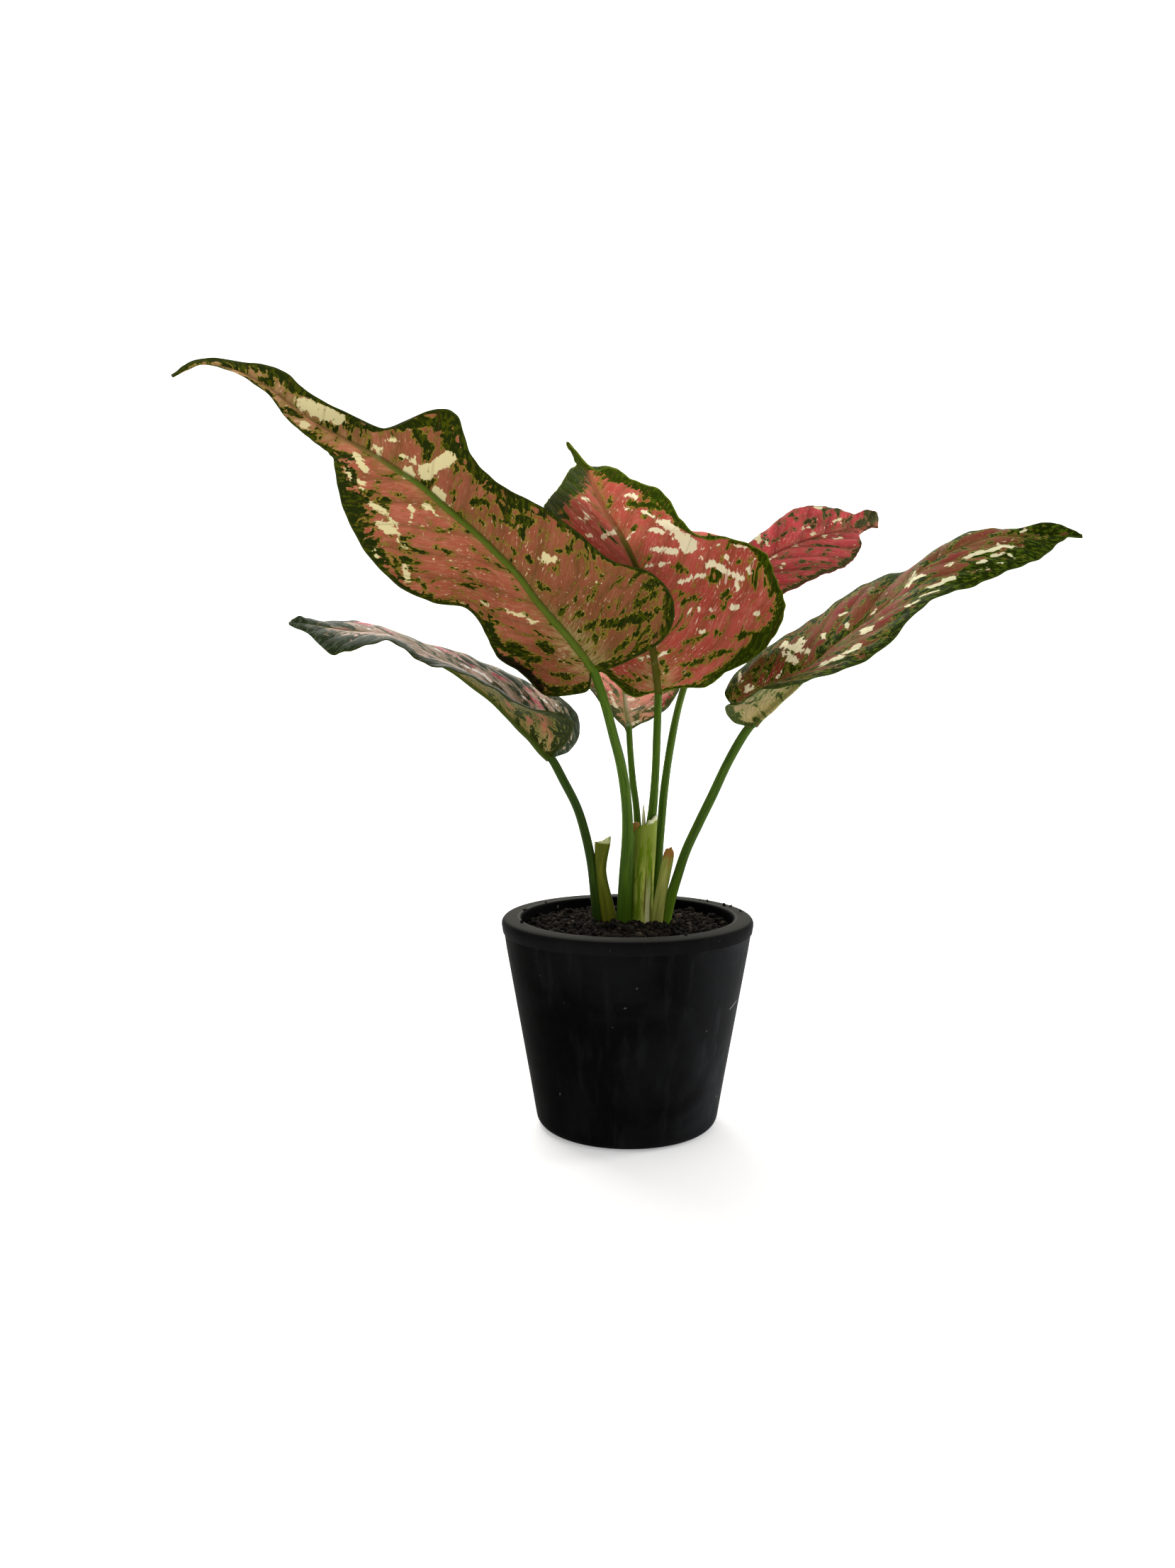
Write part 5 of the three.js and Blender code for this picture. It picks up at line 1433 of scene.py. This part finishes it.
# %% Grow the blades
blades = []
for leaf_name, leaf in LEAVES.items():
    bare = build_blade(leaf_name + "_leaf", leaf, leaf["steps"], leaf["columns"])
    blade = wear(bare, leaf_finish(leaf_name.replace("_", " "), leaf))
    blades.append((blade, leaf_name + "_blade"))
    print(leaf_name, "faces:", len(blade.data.polygons), "cubic cm:", filled(blade))

# %% [markdown]
# ## Leaf stalks
#
# Each petiole is a slim tube that is flattened at the foot, where its sheath wraps the shoots inside
# it, and runs on into the midrib of its blade. A curve with a bevel gives one width only, so the
# tube is lofted: a ring of points is set square to the path at every step, with the half width and
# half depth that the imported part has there.

# %% Loft a stalk through its sections
# How uneven a cut end is in millimetres, and how a dished end draws in at its rim and at its floor.
UNEVEN_CUT, DISH_RIM, DISH_FLOOR = 0.3, (0.72, 0.6, 0.9), (0.6, 0.45, 0.3)


def loft_stalk(name, rows, steps, around, lean=0.0, hollow=0.0):
    """A closed tube through rows. lean tilts its cut end, and hollow is how deep that end is dished."""
    rows = np.asarray(rows, float)
    share = np.linspace(0, 1, steps + 1)
    middle = through(rows[:, :3], share)
    girth = through(rows[:, 3:], share)
    along = unit(through(rows[:, :3], share + 1e-4) - through(rows[:, :3], share - 1e-4))
    along[0] = (0, 0, 1)
    across = unit(np.array([1.0, 0, 0]) - along * along[:, :1])
    back = np.cross(along, across)
    turns = 2 * np.pi * np.arange(around) / around
    cos, sin = np.cos(turns)[None, :, None], np.sin(turns)[None, :, None]
    points = middle[:, None] + across[:, None] * cos * girth[:, None, :1]
    points = points + back[:, None] * sin * girth[:, None, 1:]
    length = np.concatenate([[0], np.cumsum(np.linalg.norm(np.diff(middle, axis=0), axis=1))])
    if hollow:
        points[-1, :, 2] += np.cos(turns) * lean / 2 + UNEVEN_CUT * np.sin(7 * turns)
        spread = points[-1] - middle[-1]
        inner = middle[-1] + spread * DISH_RIM
        floor = middle[-1] + spread * DISH_FLOOR - along[-1] * hollow
        points = np.concatenate([points, inner[None], floor[None]])
        length = np.append(length, [length[-1], length[-1]])
    cover = np.stack(np.broadcast_arrays(
        10 * np.cos(turns)[None], 10 * np.sin(turns)[None], length[:, None]), -1)
    measures = {
        "cover": cover.reshape(-1, 3),
        "height": np.broadcast_to(length[:, None] / length[-1], cover.shape[:2]).ravel(),
    }
    return make_piece(name, points.reshape(-1, 3), ring_faces(len(points), around), measures)


# %% A finish for stalks
def stalk_finish(name, foot, green, light, streak, streaks, dry=0.0, lip=None):
    """Green flesh with fine lengthwise lines, another tone at the foot, streaks, and a dry or pale end."""
    material, bench = finish_of(name)
    cover = bench.measure("cover", "Vector")
    height = bench.measure("height")
    lines = bench.noise(cover.stretched(1.0, 1.0, 0.03), 0.55, 3.0, 0.6)
    clouds = bench.noise(cover.stretched(1.0, 1.0, 0.35), 0.16, 3.0, 0.55, 0.5)
    fine = bench.noise(cover.stretched(1.0, 1.0, 0.08), 1.6, 2.0)
    flesh = bench.mix(clouds.rise(0.35, 0.68), green, light)
    footed = bench.mix((1 - height.rise(0.0, 0.35)) * 0.8, flesh, foot)
    lined = bench.mix(lines.rise(0.4, 0.7) * 0.45, footed, light)
    streaked = bench.mix(lines.rise(0.7 - 0.25 * streaks, 0.76 - 0.25 * streaks) * streaks, lined, streak)
    shaded = bench.mix(fine.rise(0.35, 0.75) * 0.25, streaked, foot)
    withered = (height + (clouds - 0.5) * 0.5).rise(1.02 - dry, 1.08 - dry)
    ended = bench.mix(withered, shaded, "#8e6428") if dry else shaded
    ended = bench.mix(height.rise(0.965, 0.985), ended, lip) if lip else ended
    bumps = bench.swell(lines + fine * 0.5, 0.0003, 0.35)
    close_finish(bench, surface_of(bench, ended, 0.4 + clouds * 0.15, 0.1, bumps))
    return material


# %% Run a stalk on into its midrib
def stalk_rows(leaf):
    """The rows of a petiole, and two more that lead it along the underside of the midrib."""
    share = np.array([0.03, 0.09])
    beside, _ = sheet_points(leaf, share, np.array([[-0.04, 0.04], [-0.04, 0.04]]))
    middle = beside.mean(1)
    below = unit(np.cross(middle[1] - middle[0], beside[:, 1] - beside[:, 0]))
    ends = [[*(middle[i] + 1.0 * below[i]), girth, girth] for i, girth in ((0, 1.35), (1, 0.8))]
    return leaf["petiole"] + ends


# %% The six petioles
fresh_look = stalk_finish("fresh green stalk", "#36540a", "#304a06", "#4e6c12", "#5e7820", 0.25)
deep_look = stalk_finish("deep green stalk", "#1e3004", "#1e3402", "#36500a", "#4a6414", 0.25)
lit_look = stalk_finish("green stalk with a lighter foot", "#6e9020", "#223a04", "#3c580c", "#4a6414", 0.25)
STALK_LOOKS = {"leaf_left": deep_look, "leaf_right": lit_look}
stalks = []
for leaf_name, leaf in LEAVES.items():
    bare = loft_stalk(leaf_name + "_stalk", stalk_rows(leaf), steps=90, around=28)
    stalk = wear(bare, STALK_LOOKS.get(leaf_name, fresh_look))
    stalks.append((stalk, leaf_name + "_petiole"))
print("stalks in cubic cm:", [filled(stalk) for stalk, _ in stalks])

# %% [markdown]
# ## Old sheaths
#
# Leaves that were cut away left their feet behind: two flat stubs that have gone yellow, one of them
# with a brown tip, and in the middle a pale open sheath, which is half a tube. The tube is made of an
# outer and an inner arc, so that it has a real wall and a real open back. A Solidify modifier could
# give the wall too, but the arcs keep its slanting cut in the same few lines. A small dry curl hangs
# on its edge, and the tip of a young shoot stands in it: both are stalks on a small scale.

# %% The stubs
# Each stub: how far its cut slants, and rows like those of a petiole.
OLD_STUBS = {
    "old_sheath_left": (3.6, [
        (-7.2, 0.2, STEM_FOOT, 3.1, 1.5), (-7.2, 0.2, 82, 3.1, 1.5), (-8.2, 0, 88, 2.9, 1.5),
        (-10.2, -0.4, 99, 2.3, 1.3), (-10.6, -0.5, 105, 2.4, 1.2), (-9.8, -0.6, 114.5, 3.3, 1),
    ]),
    "old_sheath_right": (0.8, [
        (11.2, -2, STEM_FOOT, 2.4, 1.1), (11.6, -2.2, 82, 2.4, 1.1), (13, -3, 92, 2.3, 1),
        (14.8, -4.2, 102, 2.3, 1), (16.2, -5, 109.5, 2.1, 1.5),
        (16.2, -5, 112, 1.3, 1.1),
    ]),
}
stub_looks = {
    "old_sheath_left": stalk_finish(
        "yellow old sheath", "#6a5810", "#44540a", "#6c7418", "#6a5a12", 0.55, lip="#c8cc90"),
    "old_sheath_right": stalk_finish(
        "withered old sheath", "#6c7c24", "#7a8430", "#a8a858", "#7a5224", 0.5, dry=0.16),
}
old_pieces = []
for name, (lean, rows) in OLD_STUBS.items():
    bare = loft_stalk(name + "_stub", rows, steps=60, around=32, lean=lean, hollow=4.0)
    stub = wear(bare, stub_looks[name])
    old_pieces.append((stub, name, "old_sheath"))
print("stubs in cubic cm:", [filled(piece) for piece, _, _ in old_pieces])

# %% The open sheath
SHEATH_ROWS = [
    (5.2, 1.2, STEM_FOOT, 4.8), (5.3, 1.2, 85, 4.8), (5.8, 1.2, 98.5, 4.8), (6.4, 1.3, 110, 4.9),
    (6.8, 1.4, 121.5, 5),
]
SHEATH_THICKNESS, SHEATH_LEAN = 1.0, 5.5
SHEATH_FROM, SHEATH_TO = 194, 372
STREAK_ANGLE = math.radians(303)


def open_sheath(steps, around):
    share = np.linspace(0, 1, steps + 1)
    rows = through(SHEATH_ROWS, share)
    turns = np.radians(np.linspace(SHEATH_FROM, SHEATH_TO, around + 1))
    turns = np.concatenate([turns, turns[::-1]])
    inner = np.arange(len(turns)) > around
    radius = rows[:, 3:] - np.where(inner, SHEATH_THICKNESS, 0)[None]
    x = rows[:, :1] + radius * np.cos(turns)
    y = rows[:, 1:2] + radius * np.sin(turns)
    top = np.clip((share - 0.55) / 0.45, 0, 1)[:, None]
    lean = np.cos(turns) * SHEATH_LEAN / 2 + 0.35 * np.sin(9 * turns) * np.clip(np.cos(turns) + 0.6, 0, 1)
    z = rows[:, 2:3] + top**2 * lean
    points = np.stack([x, y, z], -1)
    cover = np.stack([10 * np.cos(turns) + 0 * z, 10 * np.sin(turns) + 0 * z, z], -1)
    height = np.broadcast_to(share[:, None], z.shape)
    measures = {"cover": cover.reshape(-1, 3), "height": height.ravel()}
    return make_piece(
        "old_sheath_middle_wrap", points.reshape(-1, 3), ring_faces(steps + 1, len(turns)), measures)


# %% Its pale finish
def sheath_finish():
    material, bench = finish_of("pale open sheath")
    cover = bench.measure("cover", "Vector")
    height = bench.measure("height")
    across, away, _ = cover.parts()
    towards = across * math.cos(STREAK_ANGLE) + away * math.sin(STREAK_ANGLE)
    lines = bench.noise(cover.stretched(1.0, 1.0, 0.05), 0.7, 3.0, 0.6)
    clouds = bench.noise(cover.stretched(1.0, 1.0, 0.3), 0.25, 3.0, 0.6, 0.5)
    # Greener and darker on the left, beside the big stalk: partly the sheath's own green and partly painted
    # shade.
    left_green_and_shade = 1 - towards.rise(0.0, 8.5)
    flesh = bench.mix(clouds.rise(0.4, 0.6), "#60780e", "#a8b250")
    greened = bench.mix(left_green_and_shade * lines.rise(0.15, 0.5) * 0.9, flesh, "#4c6a10")
    mottled = bench.mix(height.rise(0.5, 0.8) * clouds.rise(0.42, 0.58) * 0.7, greened, "#5c6a22")
    foot = 1 - height.rise(0.0, 0.3)
    paled = bench.mix(foot * towards.rise(4.0, 9.0) * 0.6, mottled, "#bcc66c")
    lined = bench.mix(lines.rise(0.52, 0.74) * 0.3, paled, "#7a7028")
    # A pale streak low on the front right: partly the sheath's cream and partly a painted highlight.
    low = 1 - height.rise(0.2, 0.6)
    streak = towards.rise(9.6, 9.95) * low
    streaked = bench.mix(streak * 0.75, lined, "#e6e4b0")
    middle = height.rise(0.2, 0.3) * (1 - height.rise(0.5, 0.7))
    brown = towards.rise(9.3, 9.5) * (1 - towards.rise(9.58, 9.75)) * middle
    browned = bench.mix(brown * 0.9, streaked, "#5c3626")
    # Painted highlight: the cut rim is pale on its right side only.
    rim = height.rise(0.965, 0.985) * across.rise(1.0, 5.0)
    ended = bench.mix(rim * 0.8, browned, "#e2e3bd")
    bumps = bench.swell(lines, 0.0003, 0.4)
    close_finish(bench, surface_of(bench, ended, 0.5 + clouds * 0.12, 0.03, bumps))
    return material


wrap = wear(open_sheath(steps=70, around=44), sheath_finish())
old_pieces.append((wrap, "old_sheath_middle", "pale_sheath"))
print("open sheath in cubic cm:", filled(wrap))

# %% A dry curl and the tip of a young shoot
CURL_ROWS = [
    (3.4, 1, 114, 0.7, 0.6), (2.8, -0.4, 118, 1, 0.8), (3.2, -1.9, 120.6, 1.5, 1.1),
    (4.8, -1.9, 121, 1, 0.8),
]
SHOOT_ROWS = [
    (6.6, 3.6, 96, 1.1, 0.8), (6.6, 3.4, 112, 1, 0.7), (6.4, 3.2, 122, 0.8, 0.6), (6.3, 3, 129, 0.15, 0.15),
]
curl_look = stalk_finish("dry brown curl", "#5c3c18", "#7a5422", "#a8803c", "#4a2c10", 0.5)
shoot_look = stalk_finish("pale young shoot", "#8a9a4c", "#c4c890", "#e4e2bc", "#a8b070", 0.3)
dry_curl = wear(loft_stalk("dry_curl", CURL_ROWS, steps=24, around=16), curl_look)
shoot_tip = wear(loft_stalk("shoot_tip", SHOOT_ROWS, steps=24, around=12), shoot_look)
print("small pieces in cubic cm:", filled(dry_curl), filled(shoot_tip))

# %% [markdown]
# ## What stays of the frame
#
# The crown and its roots lie in the soil, where nobody sees them. They could be lofted like the
# stalks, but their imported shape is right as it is. So the node keeps its mesh and only gets a finish:
# pale, fleshy and faintly clouded.

# %% Pale roots
def root_finish():
    material, bench = finish_of("pale roots")
    place = bench.wire("ShaderNodeTexCoord", output="Object")
    clouds = bench.noise(place, 160.0, 3.0, 0.6)
    flesh = bench.mix(clouds.rise(0.35, 0.7), "#c9bb94", "#9c8a62")
    close_finish(bench, surface_of(bench, flesh, 0.7, 0.3, bench.swell(clouds, 0.0004, 0.5)))
    return material


crown = nodes["stem_and_roots"]
crown.data.materials.clear()
wear(crown, root_finish())
print("the crown keeps its packed shape, faces:", len(crown.data.polygons))

# %% [markdown]
# ## Tie each piece to the frame
#
# Every piece rides on the part's one body, and hides the imported node that it stands for.

# %% Ride and replace
def belongs(piece, slot, *stands_for):
    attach(piece, "root")
    if stands_for:
        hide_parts(*stands_for)


belongs(pot, "pot", "pot")
belongs(soil, "soil", "soil")
for grains in (coarse, fine, crumbs):
    belongs(grains, "soil")
for stalk, node in stalks:
    belongs(stalk, "petiole", node)
for stub, node, slot in old_pieces:
    belongs(stub, slot, node)
belongs(dry_curl, "old_sheath")
belongs(shoot_tip, "pale_sheath")
for blade, node in blades:
    belongs(blade, "blade", node)

# %% [markdown]
# ## Floor and light
#
# The plant stands on a pale floor that curves up far behind it, so that no horizon shows. A picture of
# a room could light it, but lamps can be moved and dimmed one at a time. The light is soft: a bright
# surround, one wide lamp above and behind, which puts the sheen on the upper faces, a narrow one on
# the right, and one that only whitens the wall.

# %% The floor and the backdrop
FLOOR_SIDE, FLOOR_FRONT, BEND_START, BEND_RADIUS, WALL_TOP = 5000, -4000, 1600, 1000, 4000


def backdrop():
    rows = [(FLOOR_FRONT, 0), (BEND_START, 0)]
    for a in np.radians(np.linspace(10, 90, 9)):
        rows.append((BEND_START + BEND_RADIUS * math.sin(a), BEND_RADIUS * (1 - math.cos(a))))
    rows.append((BEND_START + BEND_RADIUS, WALL_TOP))
    points = [(x, y, z) for y, z in rows for x in (-FLOOR_SIDE, FLOOR_SIDE)]
    faces = [[2 * i, 2 * i + 1, 2 * i + 3, 2 * i + 2] for i in range(len(rows) - 1)]
    return make_piece("floor", points, faces)


material, bench = finish_of("pale floor")
place = bench.wire("ShaderNodeTexCoord", output="Object")
mottle = bench.noise(place, 3.0, 2.0)
pale = surface_of(bench, bench.mix(mottle, "#f8f7f6", "#fbfaf9"), 0.8, 0.1)
glow = bench.wire("ShaderNodeEmission", None, {"Color": "#ffffff", "Strength": 0.3})
close_finish(bench, bench.wire("ShaderNodeAddShader", None, {0: pale, 1: glow}))
floor = wear(backdrop(), material)


# %% Lamps and surround
def lamp(name, place, aim, width, watts, tint="#ffffff"):
    light = bpy.data.lights.new(name, "AREA")
    light.size = width
    light.energy = watts
    light.color = colour(tint)[:3]
    holder = bpy.data.objects.new(name, light)
    holder.location = place
    holder.rotation_euler = (Vector(aim) - Vector(place)).to_track_quat("-Z", "Y").to_euler()
    bpy.context.scene.collection.objects.link(holder)


lamp("window", (-0.4, 0.8, 1.2), aim=(0, 0, 0.18), width=1.0, watts=14.0, tint="#fffdf8")
lamp("strip", (0.9, 0.25, 0.35), aim=(0, 0, 0.1), width=0.35, watts=4.0)
lamp("wall wash", (0, 1.1, 1.5), aim=(0, 2.6, 0.9), width=2.0, watts=34.0)

world = bpy.data.worlds.new("surround")
world.use_nodes = True
bench = Bench(world.node_tree)
shine = bench.node("ShaderNodeBackground", None, {"Color": "#ffffff", "Strength": 0.62})
bench.node("ShaderNodeOutputWorld", None, {"Surface": shine.outputs[0]})
bpy.context.scene.world = world
bpy.context.scene.view_settings.view_transform = "Standard"
print("lamps:", len(bpy.data.lights))
